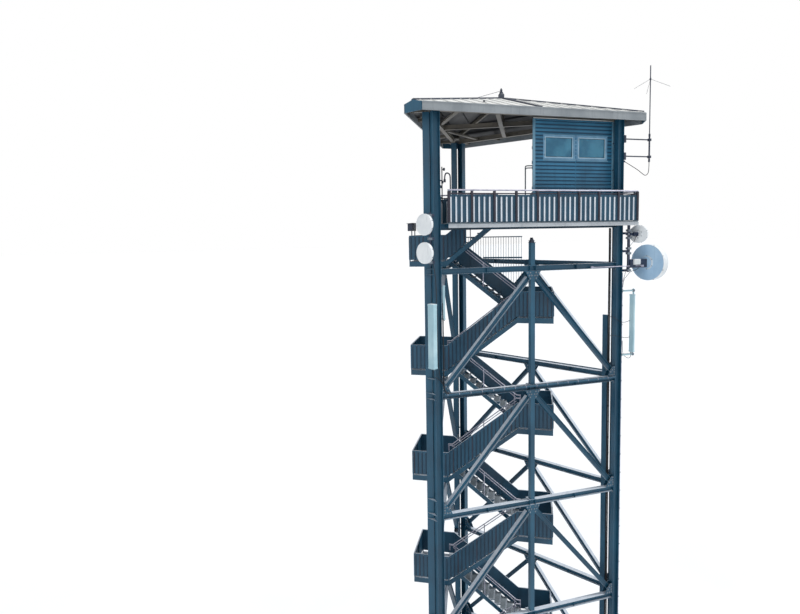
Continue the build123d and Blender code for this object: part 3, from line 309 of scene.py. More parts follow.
def mixTones(tree, factor, first, second):
    mix = tree.nodes.new("ShaderNodeMix")
    mix.data_type = "RGBA"
    setSockets(tree, ((mix.inputs[0], factor), (mix.inputs[6], first), (mix.inputs[7], second)))
    return mix.outputs[2]


def noiseOn(tree, vector, scale, detail, stretch=(1, 1, 1)):
    mapping = tree.nodes.new("ShaderNodeMapping")
    noise = tree.nodes.new("ShaderNodeTexNoise")
    setSockets(tree, ((mapping.inputs["Scale"], stretch), (mapping.inputs["Vector"], vector),
                      (noise.inputs["Scale"], scale), (noise.inputs["Detail"], detail),
                      (noise.inputs["Roughness"], 0.6), (noise.inputs["Vector"], mapping.outputs["Vector"])))
    return noise.outputs["Fac"]


def ranged(tree, value, low, high, toLow=0.0, toHigh=1.0):
    node = tree.nodes.new("ShaderNodeMapRange")
    node.interpolation_type = "SMOOTHSTEP"
    names = ("From Min", "From Max", "To Min", "To Max", "Value")
    setSockets(tree, ((node.inputs[key], v) for key, v in zip(names, (low, high, toLow, toHigh, value))))
    return node.outputs["Result"]


def mathNode(tree, operation, *values):
    node = tree.nodes.new("ShaderNodeMath")
    node.operation = operation
    setSockets(tree, zip(node.inputs, values))
    return node.outputs[0]


def heightOf(tree, vector):
    split = tree.nodes.new("ShaderNodeSeparateXYZ")
    tree.links.new(vector, split.inputs[0])
    return split.outputs["Z"]


def newMaterial(name):
    material = bpy.data.materials.new(name)
    material.use_nodes = True
    tree = material.node_tree
    return material, tree, tree.nodes["Principled BSDF"], tree.nodes.new("ShaderNodeTexCoord").outputs["Object"]


def weatheringAndPaintedLightFinish(name, dark, light, streakTone, streaks, rough, patchScale, look):
    # paint, zinc or plastic that has stood outdoors: patches, streaks, and a pale film on top faces that is
    # painted sunlight with some dust; some finishes add painted shade on undersides or in grooves
    material, tree, shader, coords = newMaterial(name)
    shader.inputs["Metallic"].default_value = look.get("metal", 0.0)
    patches = noiseOn(tree, coords, patchScale, 5.0)
    colour = mixTones(tree, ranged(tree, patches, 0.3, 0.7), tone(*dark), tone(*light))
    runs = noiseOn(tree, coords, look.get("streakScale", 9.0), 3.0, (1, 1, look.get("streakStretch", 0.07)))
    share = mathNode(tree, "MULTIPLY", ranged(tree, runs, 0.52, 0.78), streaks)
    colour = mixTones(tree, share, colour, tone(*streakTone))
    if "paintedShadeBelow" in look or "paintedSunAndDust" in look:
        upward = heightOf(tree, tree.nodes.new("ShaderNodeNewGeometry").outputs["Normal"])
    # painted shade: faces that look down are mixed towards a dark tone
    if "paintedShadeBelow" in look:
        colour = mixTones(tree, ranged(tree, upward, -0.5, -0.3, 1.0, 0.0), colour, tone(*look["paintedShadeBelow"]))
    if "grooveShade" in look:
        # painted shade in the grooves of a folded sheet: start height, pitch, the grooves' share of it, and the
        # shade's tone
        start, pitch, part, grooveShadeTone = look["grooveShade"]
        wrapped = mathNode(tree, "WRAP", heightOf(tree, coords), start + pitch, start)
        inside = ranged(tree, wrapped, start + pitch * (part - 0.12), start + pitch * part, 0.9, 0.0)
        colour = mixTones(tree, inside, colour, tone(*grooveShadeTone))
    if "rust" in look:
        spots = ranged(tree, noiseOn(tree, coords, 6.0, 8.0), 0.66, 0.76)
        colour = mixTones(tree, mathNode(tree, "MULTIPLY", spots, look["rust"]), colour, tone(112, 66, 38))
    # painted sunlight with some dust: faces that look up are mixed towards a pale tone, broken up by noise
    if "paintedSunAndDust" in look:
        share, paintedSunAndDustTone = look["paintedSunAndDust"]
        sunAndDustBreakup = ranged(tree, noiseOn(tree, coords, 5.0, 6.0), 0.25, 0.6, 0.75, 1.0)
        paintedSunAndDust = mathNode(tree, "MULTIPLY", ranged(tree, upward, 0.3, 0.75), sunAndDustBreakup)
        colour = mixTones(tree, mathNode(tree, "MULTIPLY", paintedSunAndDust, share), colour, tone(*paintedSunAndDustTone))
    bump = tree.nodes.new("ShaderNodeBump")
    setSockets(tree, ((shader.inputs["Base Color"], colour),
                      (shader.inputs["Roughness"], ranged(tree, patches, 0.25, 0.75, *rough)),
                      (bump.inputs["Strength"], look.get("bump", 0.08)), (bump.inputs["Distance"], 0.01),
                      (bump.inputs["Height"], noiseOn(tree, coords, 60.0, 3.0)),
                      (shader.inputs["Normal"], bump.outputs["Normal"])))
    return material


def windowGlass():
    material, tree, shader, coords = newMaterial("windowGlass")
    shader.inputs["Transmission Weight"].default_value = 0.35
    shader.inputs["IOR"].default_value = 1.45
    haze = ranged(tree, noiseOn(tree, coords, 1.6, 3.0), 0.3, 0.7)
    colour = mixTones(tree, haze, tone(44, 122, 158), tone(78, 158, 190))
    dust = ranged(tree, noiseOn(tree, coords, 14.0, 5.0), 0.4, 0.8, 0.03, 0.14)
    setSockets(tree, ((shader.inputs["Base Color"], colour), (shader.inputs["Roughness"], dust)))
    return material


# each finish: material, its dark, light and streak tones, the streaks' share, roughness from and to,
# the scale of its patches, and what else it has; the pale film of painted sunlight and dust on top faces is its
# share and tone
finishLooks = {
    "blueSteel": ("blueSteelPaint", (18, 66, 90), (30, 86, 112), (14, 46, 66), 0.35, (0.35, 0.55), 0.5,
                  {"rust": 0.35, "paintedSunAndDust": (0.9, (206, 213, 222))}),
    "panelSteel": ("stairPanelPaint", (22, 66, 90), (34, 84, 110), (16, 48, 68), 0.35, (0.4, 0.55), 0.8,
                   {"paintedSunAndDust": (0.9, (196, 204, 214))}),
    "galvanised": ("galvanisedZinc", (120, 128, 136), (168, 175, 182), (92, 98, 106), 0.3, (0.45, 0.62), 7.0,
                   {"metal": 0.35, "paintedSunAndDust": (0.4, (206, 210, 216))}),
    "deckPlate": ("deckPlateSteel", (84, 96, 104), (118, 130, 138), (66, 74, 80), 0.2, (0.55, 0.75), 1.2,
                  {"paintedSunAndDust": (0.5, (150, 156, 160)), "bump": 0.3}),
    "greySheet": ("greyEdgeSheet", (156, 162, 168), (182, 188, 193), (120, 128, 136), 0.4, (0.4, 0.55), 0.8,
                  {"paintedSunAndDust": (0.5, (220, 222, 224))}),
    "railingSheet": ("railingPaint", (22, 62, 84), (34, 80, 104), (18, 46, 64), 0.3, (0.4, 0.55), 1.1,
                     {"paintedSunAndDust": (0.9, (205, 210, 218))}),
    "cabinSheet": ("cabinCladdingPaint", (30, 88, 118), (46, 112, 146), (22, 62, 88), 0.3, (0.38, 0.52), 0.9, {}),
    # the corrugated sheet has painted shade in its grooves
    "claddingSheet": ("corrugatedSheetPaint", (34, 96, 128), (52, 120, 156), (22, 62, 88), 0.3, (0.38, 0.52),
                      0.9, {"grooveShade": (26.6, 0.13, 0.38, (18, 56, 80))}),
    # roof sheets and ceiling: faces that look down get nearly black painted shade
    "whiteSheet": ("roofSheetPaint", (206, 207, 205), (226, 226, 222), (168, 170, 168), 0.25, (0.4, 0.6), 0.6,
                   {"streakScale": 3.0, "streakStretch": 1.0, "paintedShadeBelow": (20, 22, 26)}),
    "sashPaint": ("windowSashPaint", (140, 176, 198), (164, 196, 214), (96, 130, 152), 0.25, (0.35, 0.5), 3.0,
                  {"paintedSunAndDust": (0.6, (222, 228, 232))}),
    "fasciaSheet": ("roofEdgeSheet", (122, 129, 134), (146, 152, 156), (94, 100, 106), 0.35, (0.4, 0.55), 0.8,
                    {"paintedSunAndDust": (0.5, (200, 202, 204))}),
    "roofBeamPaint": ("roofBeamPaint", (92, 88, 80), (116, 110, 100), (64, 61, 56), 0.3, (0.45, 0.6), 1.0, {}),
    "navyPaint": ("mountPaint", (24, 36, 56), (36, 52, 78), (70, 84, 104), 0.25, (0.4, 0.55), 2.0,
                  {"paintedSunAndDust": (0.5, (150, 158, 172))}),
    # the railing strips: painted sunlight
    "paintedSunStrip": ("railingPaintedSunlight", (196, 203, 212), (216, 221, 227), (150, 160, 172), 0.35, (0.4, 0.55),
                  2.0, {}),
    "plumTrim": ("postCoverPaint", (22, 20, 34), (36, 32, 50), (62, 58, 76), 0.25, (0.45, 0.6), 3.0,
                 {"paintedSunAndDust": (0.6, (170, 166, 176))}),
    # the stair panels' ribs: darker than the panel as painted shade
    "ribShadePaint": ("panelRibPaintedShade", (12, 42, 62), (20, 54, 76), (40, 76, 98), 0.3, (0.4, 0.55), 1.5,
                 {"paintedSunAndDust": (0.9, (196, 204, 214))}),
    "cabinTrim": ("cabinCornerPaint", (92, 138, 164), (120, 164, 188), (66, 100, 122), 0.3, (0.35, 0.5), 1.5, {}),
    # the large dish's back: pale blue as painted shade
    "dishBackShade": ("dishBackPaintedShade", (158, 194, 224), (180, 210, 234), (122, 160, 192), 0.25, (0.4, 0.55), 1.5, {}),
    "underBatten": ("battenPaint", (36, 37, 40), (52, 52, 54), (28, 28, 30), 0.3, (0.5, 0.7), 1.5, {}),
    "gasket": ("windowGasket", (24, 30, 38), (38, 46, 56), (70, 78, 86), 0.2, (0.6, 0.75), 8.0, {}),
    "paleFrame": ("windowFramePaint", (88, 134, 166), (112, 158, 188), (66, 104, 132), 0.25, (0.35, 0.5), 3.0,
                  {"paintedSunAndDust": (0.6, (222, 228, 232))}),
    "darkTrim": ("darkTrimPaint", (34, 42, 58), (48, 58, 76), (80, 88, 98), 0.2, (0.45, 0.6), 1.5, {}),
    "whitePlastic": ("dishWhite", (212, 217, 220), (232, 235, 236), (176, 182, 184), 0.3, (0.4, 0.55), 1.4,
                     {"streakStretch": 0.15}),
    "palePlastic": ("aerialCasePaint", (150, 186, 198), (176, 206, 214), (120, 150, 160), 0.3, (0.4, 0.55), 1.4,
                    {"paintedSunAndDust": (0.7, (232, 236, 238))}),
    "paleRail": ("handrailZinc", (150, 152, 172), (190, 190, 204), (110, 112, 132), 0.3, (0.35, 0.5), 4.0,
                 {"metal": 0.2, "paintedSunAndDust": (0.8, (226, 222, 232))}),
    "boltZinc": ("boltZinc", (96, 106, 116), (140, 150, 160), (70, 76, 84), 0.3, (0.35, 0.5), 12.0,
                 {"metal": 0.5}),
    "blackCable": ("cableSheath", (22, 24, 28), (40, 42, 48), (70, 72, 78), 0.2, (0.5, 0.7), 5.0, {}),
}
finishes = {name: weatheringAndPaintedLightFinish(*look) for name, look in finishLooks.items()}
finishes["glass"] = windowGlass()

# what each CAD node is finished with: blue steel, apart from these
nodeFinishes = {
    "galvanised": ("base_plates", "cabin_steps"), "deckPlate": ("deck_floor", "cabin_floor"),
    "railingSheet": ("front_railing", "right_railing", "left_railing", "stair_opening_railing"),
    "cabinSheet": ("cabin_front_wall", "cabin_back_wall", "cabin_door_wall", "cabin_door"),
    "whiteSheet": ("cabin_ceiling", "roof_sheets"), "whitePlastic": ("left_dishes", "right_dishes"),
    "darkTrim": ("ridge_caps", "roof_mast", "whip_mast", "cabin_brackets"), "greySheet": ("deck_fascia",),
    "paleFrame": ("window_frames",), "glass": ("window_panes",), "fasciaSheet": ("roof_fascia",),
    "palePlastic": ("panel_antennas",), "paleRail": ("stair_handrails",), "panelSteel": ("stair_panels",),
    "roofBeamPaint": ("roof_frame",), "navyPaint": ("dish_mounts",),
}
for node in nodes:
    finish = next((key for key, named in nodeFinishes.items() if node in named), "blueSteel")
    nodes[node].data.materials.clear()
    nodes[node].data.materials.append(finishes[finish])
print("finishes on the frame's nodes: done")

# the cabin's three walls: each stands on its own X axis and looks towards -Y
cabin = {"left": 3.426, "apex": 6.25499, "bottom": 26.6, "top": 30.18, "floor": 27.75, "sill": 28.78,
         "windowHeight": 0.87, "windows": [(0.377, 1.652), (1.732, 3.007)], "sideWindow": (1.957, 2.857),
         "door": (0.673, 1.473), "doorTop": 29.75, "frame": 0.055}
cabin["side"] = (cabin["apex"] - cabin["left"]) / cos30
sill, sillHigh = cabin["sill"], cabin["sill"] + cabin["windowHeight"]
between = (cabin["windows"][0][1] + cabin["windows"][1][0]) / 2     # the middle of the pair of windows
cabinFront = stairFrame @ at(cabin["left"], -cabin["side"] / 2, 0, 30)
cabinBack = flipStair @ cabinFront
cabinDoor = stairFrame @ at(cabin["left"], cabin["side"] / 2, 0, -90)

# corrugated cladding: one wave is folded, stacked up the wall and cut to each panel
cladding = {"pitch": 0.13, "depth": 0.018, "steps": 8, "flat": range(2, 8), "sheet": 0.0015}


def oneWave():
    clearSelection()
    bpy.ops.mesh.primitive_grid_add(x_subdivisions=1, y_subdivisions=cladding["steps"], size=1)
    piece = bpy.context.object
    piece.scale = (1, cladding["pitch"], 1)
    piece.rotation_euler = (math.radians(90), 0, 0)
    piece.location = (0.5, 0, cladding["pitch"] / 2)
    applyPlace(piece)
    for row in cladding["flat"]:
        height = cladding["pitch"] * row / cladding["steps"]
        for vertex in piece.data.vertices:
            vertex.select = abs(vertex.co.z - height) < 0.001
        for part in list(piece.data.edges) + list(piece.data.polygons):
            part.select = False
        bpy.context.tool_settings.mesh_select_mode = (True, False, False)
        bpy.ops.object.mode_set(mode="EDIT")
        bpy.ops.transform.translate(value=(0, -cladding["depth"], 0))
        leaveEdit()
    return piece


def corrugatedPanel(x0, x1, z0, z1):
    panel = wave.copy()
    panel.data = wave.data.copy()
    scene.collection.objects.link(panel)
    panel.data.transform(at(x0, -cladding["sheet"], cabin["bottom"]) @ Matrix.Diagonal((x1 - x0, 1, 1, 1)))
    applyModifier(panel, "ARRAY", use_relative_offset=False, use_constant_offset=True,
                  constant_offset_displace=(0, 0, cladding["pitch"]), use_merge_vertices=True,
                  count=math.ceil((z1 - cabin["bottom"]) / cladding["pitch"]))
    if z0 > cabin["bottom"]:
        cutAway(panel, (0, 0, z0), (0, 0, -1), False)
    cutAway(panel, (0, 0, z1), (0, 0, 1), False)
    return applyModifier(panel, "SOLIDIFY", thickness=cladding["sheet"], offset=1)


def cladWall(name, openings, place):
    # openings are (x0, x1, z0, z1), with no two at the same place along the wall
    panels, edge = [], 0.0
    for x0, x1, z0, z1 in openings:
        panels.append(corrugatedPanel(edge, x0, cabin["bottom"], cabin["top"]))
        panels.append(corrugatedPanel(x0, x1, cabin["bottom"], z0))
        panels.append(corrugatedPanel(x0, x1, z1, cabin["top"]))
        edge = x1
    panels.append(corrugatedPanel(edge, cabin["side"], cabin["bottom"], cabin["top"]))
    addPiece(name, panels, [place], "claddingSheet", "cabin_cladding", 30)


wave = oneWave()
windowHoles = [(x0, x1, sill, sillHigh) for x0, x1 in cabin["windows"]]
cladWall("frontCladding", windowHoles, cabinFront)
cladWall("backCladding", windowHoles, cabinBack)
cladWall("doorWallCladding", [(*cabin["door"], cabin["floor"], cabin["doorTop"]),
                              (*cabin["sideWindow"], sill, sillHigh)], cabinDoor)
bpy.data.objects.remove(wave)

# folded covers on the cabin's corners, mitred where the two walls meet
cornerCover = {"width": 0.062, "proud": 0.024}
mirrorWall = at(cabin["side"], 0, 0) @ Matrix.Diagonal((-1, 1, 1, 1))
strip = startBox((-cornerCover["proud"] / tan30, -cornerCover["proud"], cabin["bottom"] + 0.005),
                 (cornerCover["width"], 0, cabin["top"] - 0.005))
softenEdges(cutAway(strip, (0, 0, 0), (-sin30, cos30, 0)), 0.003)
addPiece("cabinCornerCovers", strip, [wall @ end for wall in (cabinFront, cabinBack, cabinDoor)
                                      for end in (Matrix.Identity(4), mirrorWall)], "cabinTrim", "pale_frame")

# strips at the foot and head of the walls, and a cover over the joint under the windows
wallStrips = {"foot": 0.06, "head": 0.05, "proud": 0.022, "joint": 0.028, "end": 0.04}


def wallStrip(x0, x1, z0, z1):
    return startBox((x0, -wallStrips["proud"], z0), (x1, 0, z1))


def footAndHead():
    x0, x1 = wallStrips["end"], cabin["side"] - wallStrips["end"]
    return [wallStrip(x0, x1, cabin["bottom"] + 0.001, cabin["bottom"] + wallStrips["foot"]),
            wallStrip(x0, x1, cabin["top"] - wallStrips["head"], cabin["top"])]


joint = wallStrip(between - wallStrips["joint"] / 2, between + wallStrips["joint"] / 2, cabin["bottom"] + 0.05,
                  sill - 0.03)
for name, parts, walls in (("cabinWallBands", footAndHead() + [joint], [cabinFront, cabinBack]),
                           ("doorWallBands", footAndHead(), [cabinDoor])):
    addPiece(name, softenEdges(joined(name, parts), 0.004), walls, "cabinSheet", "cabin_cladding")

# windows: a sash with its gasket inside each frame, a sloped sill and two hinges
sashLook = {"gap": 0.004, "width": 0.042, "front": -0.012, "back": 0.018, "gasket": 0.012, "sillOut": 0.05,
            "hinge": 0.16}


def windowRing(span, inset, y0, y1, width):
    return openFrame((span[0] + inset, y0, sill + inset), (span[1] - inset, y1, sillHigh - inset), width)


sashes, seals, sills, hinges = [], [], [], []
for span in cabin["windows"] + [cabin["sideWindow"]]:
    walls = [cabinDoor] if span == cabin["sideWindow"] else [cabinFront, cabinBack]
    inset = cabin["frame"] + sashLook["gap"]
    sash = softenEdges(windowRing(span, inset, sashLook["front"], sashLook["back"], sashLook["width"]), 0.004)
    sashes.append(copied(sash, "sash", walls))
    seal = windowRing(span, inset + sashLook["width"], 0.006, 0.018, sashLook["gasket"])
    rebate = windowRing(span, cabin["frame"] - 0.002, 0.0, 0.016, 0.008)
    seals.append(copied(joined("seal", [seal, rebate]), "seal", walls))
    ledge = startBox((span[0] - 0.02, -sashLook["sillOut"], sill - 0.006), (span[1] + 0.02, 0.0, sill + 0.012))
    slideFaces(ledge, toFront, (0, 0, -0.016))
    pushOut(ledge, toFront, (0, -0.003, -0.012))
    sills.append(copied(softenEdges(ledge, 0.002), "sill", walls))
    for z in (sill + sashLook["hinge"], sillHigh - sashLook["hinge"]):
        x = span[0] + 0.05
        knuckle = softRod(0.009, (x, -0.024, z - 0.035), (x, -0.024, z + 0.035), 12, 0.002, 1)
        hinges.append(copied(knuckle, "knuckle", walls))
addPiece("windowSashes", sashes, None, "sashPaint", "pale_frame")
addPiece("windowSeals", seals, None, "gasket", "dark_trim")
addPiece("windowSills", sills, None, "cabinTrim", "pale_frame")
addPiece("windowHinges", hinges, None, "boltZinc", "galvanised")
mullion = [openFrame((between - 0.04, -0.024, sill - 0.004), (between + 0.04, -0.004, sillHigh + 0.004), 0.012),
           startBox((between - 0.03, -0.018, sill), (between + 0.03, -0.004, sillHigh))]
addPiece("windowMullions", softenEdges(joined("mullion", mullion), 0.003), [cabinFront, cabinBack],
         "paleFrame", "pale_frame")
# a flashing over each pair of windows, which throws the water off
flashing = pushOut(startBox((0.355, -0.03, sillHigh), (3.03, 0, sillHigh + 0.014)), toFront, (0, -0.014, -0.01))
addPiece("windowFlashings", softenEdges(flashing, 0.002), [cabinFront, cabinBack], "cabinTrim", "pale_frame")

# door: frame, two pressed panels on the leaf, hinges, lever and lock
doorLook = {"frame": 0.06, "proud": 0.03, "lever": 1.02, "lockIn": 0.07, "hinges": (0.22, 1.0, 1.78),
            "panels": ((0.1, 0.95), (1.05, 1.9))}
d0, d1 = cabin["door"]
floor = cabin["floor"]
surround = openFrame((d0 - doorLook["frame"], -doorLook["proud"], floor - 0.02),
                     (d1 + doorLook["frame"], 0.004, cabin["doorTop"] + doorLook["frame"]), doorLook["frame"])
threshold = softBox((d0, -0.045, floor - 0.03), (d1, 0.006, floor + 0.006), 0.005)
addPiece("doorSurround", [softenEdges(surround, 0.005), threshold], [cabinDoor], "cabinTrim", "pale_frame")
leaves = []
for low, high in doorLook["panels"]:
    leaf = startBox((d0 + 0.1, -0.006, floor + low), (d1 - 0.1, 0.006, floor + high))
    raisePanel(leaf, toFront, 0.02, -0.004)
    raisePanel(leaf, lambda centre, normal: normal.y < -0.9 and centre.y < -0.001, 0.03, 0.006)
    leaves.append(softenEdges(leaf, 0.002, 1))
addPiece("doorPanels", leaves, [cabinDoor], "cabinSheet", "cabin_cladding")
lock, lever = d1 - doorLook["lockIn"], floor + doorLook["lever"]
fittings = [softBox((lock - 0.02, -0.012, lever - 0.12), (lock + 0.02, 0.006, lever + 0.06), 0.006, 3),
            startRod(0.01, (lock, 0.0, lever), (lock, -0.055, lever), 16),
            softBox((lock - 0.12, -0.064, lever - 0.01), (lock + 0.012, -0.048, lever + 0.01), 0.006, 3),
            softRod(0.014, (lock, 0.0, lever - 0.085), (lock, -0.018, lever - 0.085), 20, 0.003)]
for up in doorLook["hinges"]:
    z = floor + up
    fittings.append(softRod(0.011, (d0 + 0.004, -0.036, z - 0.05), (d0 + 0.004, -0.036, z + 0.05), 14, 0.003))
    fittings.append(softBox((d0, -0.034, z - 0.045), (d0 + 0.05, 0.006, z + 0.045), 0.002, 1))
addPiece("doorFittings", fittings, [cabinDoor], "boltZinc", "galvanised")
print("cabin dressed")

# railings: each run has posts at equal bays, with a folded sheet of ribs in every bay
railing = {"height": 1.06, "post": 0.05, "bay": 0.8, "ribPitch": 0.2, "ribDepth": 0.03, "low": 26.615,
           "high": 27.51, "mid": 27.55, "stripShare": 0.34, "stripTop": 0.9, "cover": 0.08, "topRadius": 0.0262}
deckEdge = {"start": 0.61, "end": 7.95, "overhang": 0.45, "inset": 0.03, "halfColumn": 0.115, "stairHalf": 0.95,
            "gapFront": 2.2, "gapBack": 1.3}
deck = plan["deck"]
railTop = deck + railing["height"]


def edgePoint(along):
    # a point of the front railing's line, in the stair's frame
    out = deckEdge["overhang"] - deckEdge["inset"]
    return Vector((along * cos30 + out * sin30, along * sin30 - middle - out * cos30, 0))


def mirrorPoint(point):
    return Vector((point.x, -point.y, 0))


runStart = edgePoint(deckEdge["start"] + deckEdge["inset"])
runEnd = edgePoint(deckEdge["end"] - deckEdge["inset"])
cornerShift = Vector((0, railing["post"] * 1.2, 0))
leftX = deckEdge["inset"] - deckEdge["halfColumn"]
leftFar = Vector((leftX, deckEdge["start"] + deckEdge["inset"] - middle, 0))
leftNear = Vector((leftX, -deckEdge["stairHalf"] - 0.06, 0))
wellY = deckEdge["stairHalf"] + 0.05
gapFront, gapBack = deckEdge["gapFront"] - 0.06, deckEdge["gapBack"] + 0.04
outerRuns = [(runStart, runEnd), (runEnd + cornerShift, mirrorPoint(runEnd) - cornerShift),
             (mirrorPoint(runEnd), mirrorPoint(runStart)), (leftNear, leftFar),
             (mirrorPoint(leftFar), mirrorPoint(leftNear))]
wellRuns = [[Vector((x, y, 0)) for x, y in ends] for ends in (
    ((leftX + 0.12, -wellY), (gapFront, -wellY)), ((gapBack - 0.1, wellY), (leftX + 0.12, wellY)),
    ((gapBack, 0.04), (gapBack, wellY - 0.06)), ((gapFront, 0.04), (gapBack + 0.12, 0.04)))]

stripPlaces, postPlaces, midPlaces, railCovers = [], [], [], []
for start, end in outerRuns + wellRuns:
    way = end - start
    place = stairFrame @ at(*start, math.degrees(math.atan2(way.y, way.x)))
    bays = max(1, round(way.length / railing["bay"]))
    bay = way.length / bays
    postPlaces += [place @ at(k * bay, 0, 0) for k in range(bays + 1)]
    ribs = max(1, round((bay - railing["post"]) / railing["ribPitch"]))
    pitch = (bay - railing["post"]) / ribs
    for k in range(bays):
        # strips and mid covers are one metre wide at first: each place gives them their width
        midPlaces.append(place @ at(k * bay + 0.03, 0, railing["mid"]) @ Matrix.Diagonal((bay - 0.06, 1, 1, 1)))
        for m in range(ribs):
            x = k * bay + railing["post"] / 2 + m * pitch + 0.004
            stripPlaces.append(place @ at(x, -railing["ribDepth"], 0)
                               @ Matrix.Diagonal((pitch * railing["stripShare"] - 0.008, 1, 1, 1)))
    cover = softRod(railing["topRadius"], (-0.034, 0, railTop), (way.length + 0.034, 0, railTop), 20, 0.006, 3)
    railCovers.append(copied(cover, "cover", [place]))
# pale strips on the ribs' outer faces are painted sunlight; they stop short of the panel's top, leaving a dark
# band there as the rail's painted shadow
stripHigh = railing["low"] + railing["stripTop"] * (railing["high"] - railing["low"])
strip = startBox((0, -0.0025, railing["low"] + 0.012), (1, 0, stripHigh))
pushOut(strip, toTop, (0, 0, 0.02), (0.86, 1, 1))
raisePanel(strip, toFront, 0.012, -0.001)
addPiece("railingSunlitStrips", strip, stripPlaces, "paintedSunStrip", "grey_sheet", 0)
addPiece("railingTopCovers", railCovers, None, "paleRail", "pale_rail")
mid = startBox((0, -0.021, -0.02), (1, 0.019, 0.019))
pickFaces(mid, toTop)
bpy.ops.transform.resize(value=(1, 0.7, 1))
leaveEdit()
addPiece("railingMidCovers", mid, midPlaces, "plumTrim", "dark_trim", 0)

# a folded cover on each post, its saddle under the rail, and its foot plate
half = railing["cover"] / 2
cover = startBox((-half, -0.036, deck + 0.012), (half, -0.024, railTop - 0.03))
raisePanel(cover, toFront, 0.008, 0.003)
flanks = [softBox((x, -0.03, deck + 0.012), (x + 0.006, 0.026, railTop - 0.05), 0.002, 1)
          for x in (-half, half - 0.006)]
addPiece("railingPostCovers", [cover] + flanks, postPlaces, "plumTrim", "dark_trim")
saddle = startBox((-0.03, -0.034, railTop - 0.05), (0.03, 0.034, railTop - 0.022))
softenEdges(pushOut(saddle, toFoot, (0, 0, -0.03), (0.75, 0.75, 1)), 0.003, 1)
foot = softBox((-0.055, -0.02, deck), (0.055, 0.06, deck + 0.01), 0.003, 1)
addPiece("railingSaddles", [saddle, foot], postPlaces, "railingSheet", "railing_sheet")
print("railings dressed")

# guard panels of the stair: upright ribs on the outside, darker than the panel as painted shade lines, and a
# darker one at every post
stair = {"rise": 0.175, "going": 0.24, "steps": 12, "lastSteps": 8, "leftOuter": -1.18, "leftInner": 0.22,
         "landing": 1.3, "half": 0.95, "sheet": 0.006, "gap": 0.06, "tall": 0.88, "ribPitch": 0.15, "endRibs": 12,
         "ribWidth": 0.044, "ribDepth": 0.014, "postWidth": 0.05, "postDepth": 0.02, "every": 5, "lastOpen": 0.9}
left, inner = stair["leftOuter"], stair["leftInner"]
far = inner + (stair["steps"] - 1) * stair["going"]
right = far + stair["landing"]
flightRise = stair["steps"] * stair["rise"]


def uprightRib(width, depth):
    # stands on y = 0 and looks towards -Y, foot at z = 0
    rib = startBox((-width / 2, -0.001, 0), (width / 2, 0, stair["tall"] - 0.02))
    return pushOut(rib, toFront, (0, -depth, 0), (0.62, 1, 1))


def ribPlaces(x0, z0, x1, z1, side):
    # along one straight piece of a panel's edge; a slope leans the rib's ends, not its sides
    count = max(1, round(abs(x1 - x0) / stair["ribPitch"]))
    slope = (z1 - z0) / (x1 - x0)
    lean = Matrix.Identity(4)
    lean[2][0] = slope
    flip = Matrix.Diagonal((1, -side, 1, 1))
    places = []
    for k in range(count):
        x = x0 + (x1 - x0) * (k + 0.5) / count
        z = z0 + slope * (x - x0) + stair["gap"] + 0.01
        places.append(stairFrame @ flip @ at(x, -stair["half"] - stair["sheet"], z) @ lean)
    return places


ribSpots = []
for k in range(plan["storeys"]):
    z = k * plan["storey"]
    up, top = z + flightRise, z + 2 * flightRise
    runs = [(left, z, inner, z, -1), (inner, z, far, up, -1), (far, up, right, up, -1), (right, up, far, up, 1),
            (far, up, inner, top, 1), (inner, top, left, top, 1)]
    for run in runs if k else runs[1:]:         # the ground has no left landing
        ribSpots += ribPlaces(*run)
    for x, z1, turn in ((right, up, 90), (left, top, -90)):
        for m in range(stair["endRibs"]):
            y = -stair["half"] + (m + 0.5) * 2 * stair["half"] / stair["endRibs"]
            x1 = x + math.copysign(stair["sheet"], turn)
            ribSpots.append(stairFrame @ at(x1, y, z1 + stair["gap"] + 0.01, turn))
lastFloor = plan["storeys"] * plan["storey"]
lastRun = (stair["lastSteps"] - 1) * stair["going"]
lastHigh = lastFloor + stair["lastSteps"] * stair["rise"] * (1 - stair["lastOpen"] / lastRun)
ribSpots += ribPlaces(left, lastFloor, inner, lastFloor, -1)
ribSpots += ribPlaces(inner, lastFloor, inner + lastRun - stair["lastOpen"], lastHigh, -1)
plain = [spot for m, spot in enumerate(ribSpots) if m % stair["every"]]
addPiece("stairPanelRibs", uprightRib(stair["ribWidth"], stair["ribDepth"]), plain, "ribShadePaint", "blue_steel", 0)
addPiece("stairPanelPosts", uprightRib(stair["postWidth"], stair["postDepth"]), ribSpots[::stair["every"]],
         "darkTrim", "dark_trim", 0)

# treads: an edge strip on the front of each, and a grip plate behind it
tread = {"length": 0.265, "inner": 0.08, "outer": 0.9, "strip": 0.035}
flights = [(inner, lastFloor, stair["lastSteps"], 1)]
for k in range(plan["storeys"]):
    flights.append((inner, k * plan["storey"], stair["steps"], 1))
    flights.append((far, k * plan["storey"] + flightRise, stair["steps"], -1))
treadSpots = []
for x0, z0, steps, way in flights:
    for m in range(1, steps):
        x = x0 + way * (m * stair["going"] - tread["length"])
        treadSpots.append(stairFrame @ at(x, 0, z0 + m * stair["rise"]) @ Matrix.Diagonal((way, -way, 1, 1)))
nosing = startBox((-0.004, tread["inner"] + 0.004, -0.012), (tread["strip"], tread["outer"] - 0.004, 0.003))
raisePanel(nosing, toTop, 0.006, -0.0015, False)
addPiece("treadEdges", softenEdges(nosing, 0.0015, 1), treadSpots, "galvanised", "galvanised")
grip = startBox((tread["strip"] + 0.012, tread["inner"] + 0.03, -0.001),
                (tread["length"] - 0.02, tread["outer"] - 0.03, 0.003))
addPiece("treadPlates", raisePanel(grip, toTop, 0.012, 0.001), treadSpots, "deckPlate", "deck_plate", 0)
print("stair dressed")

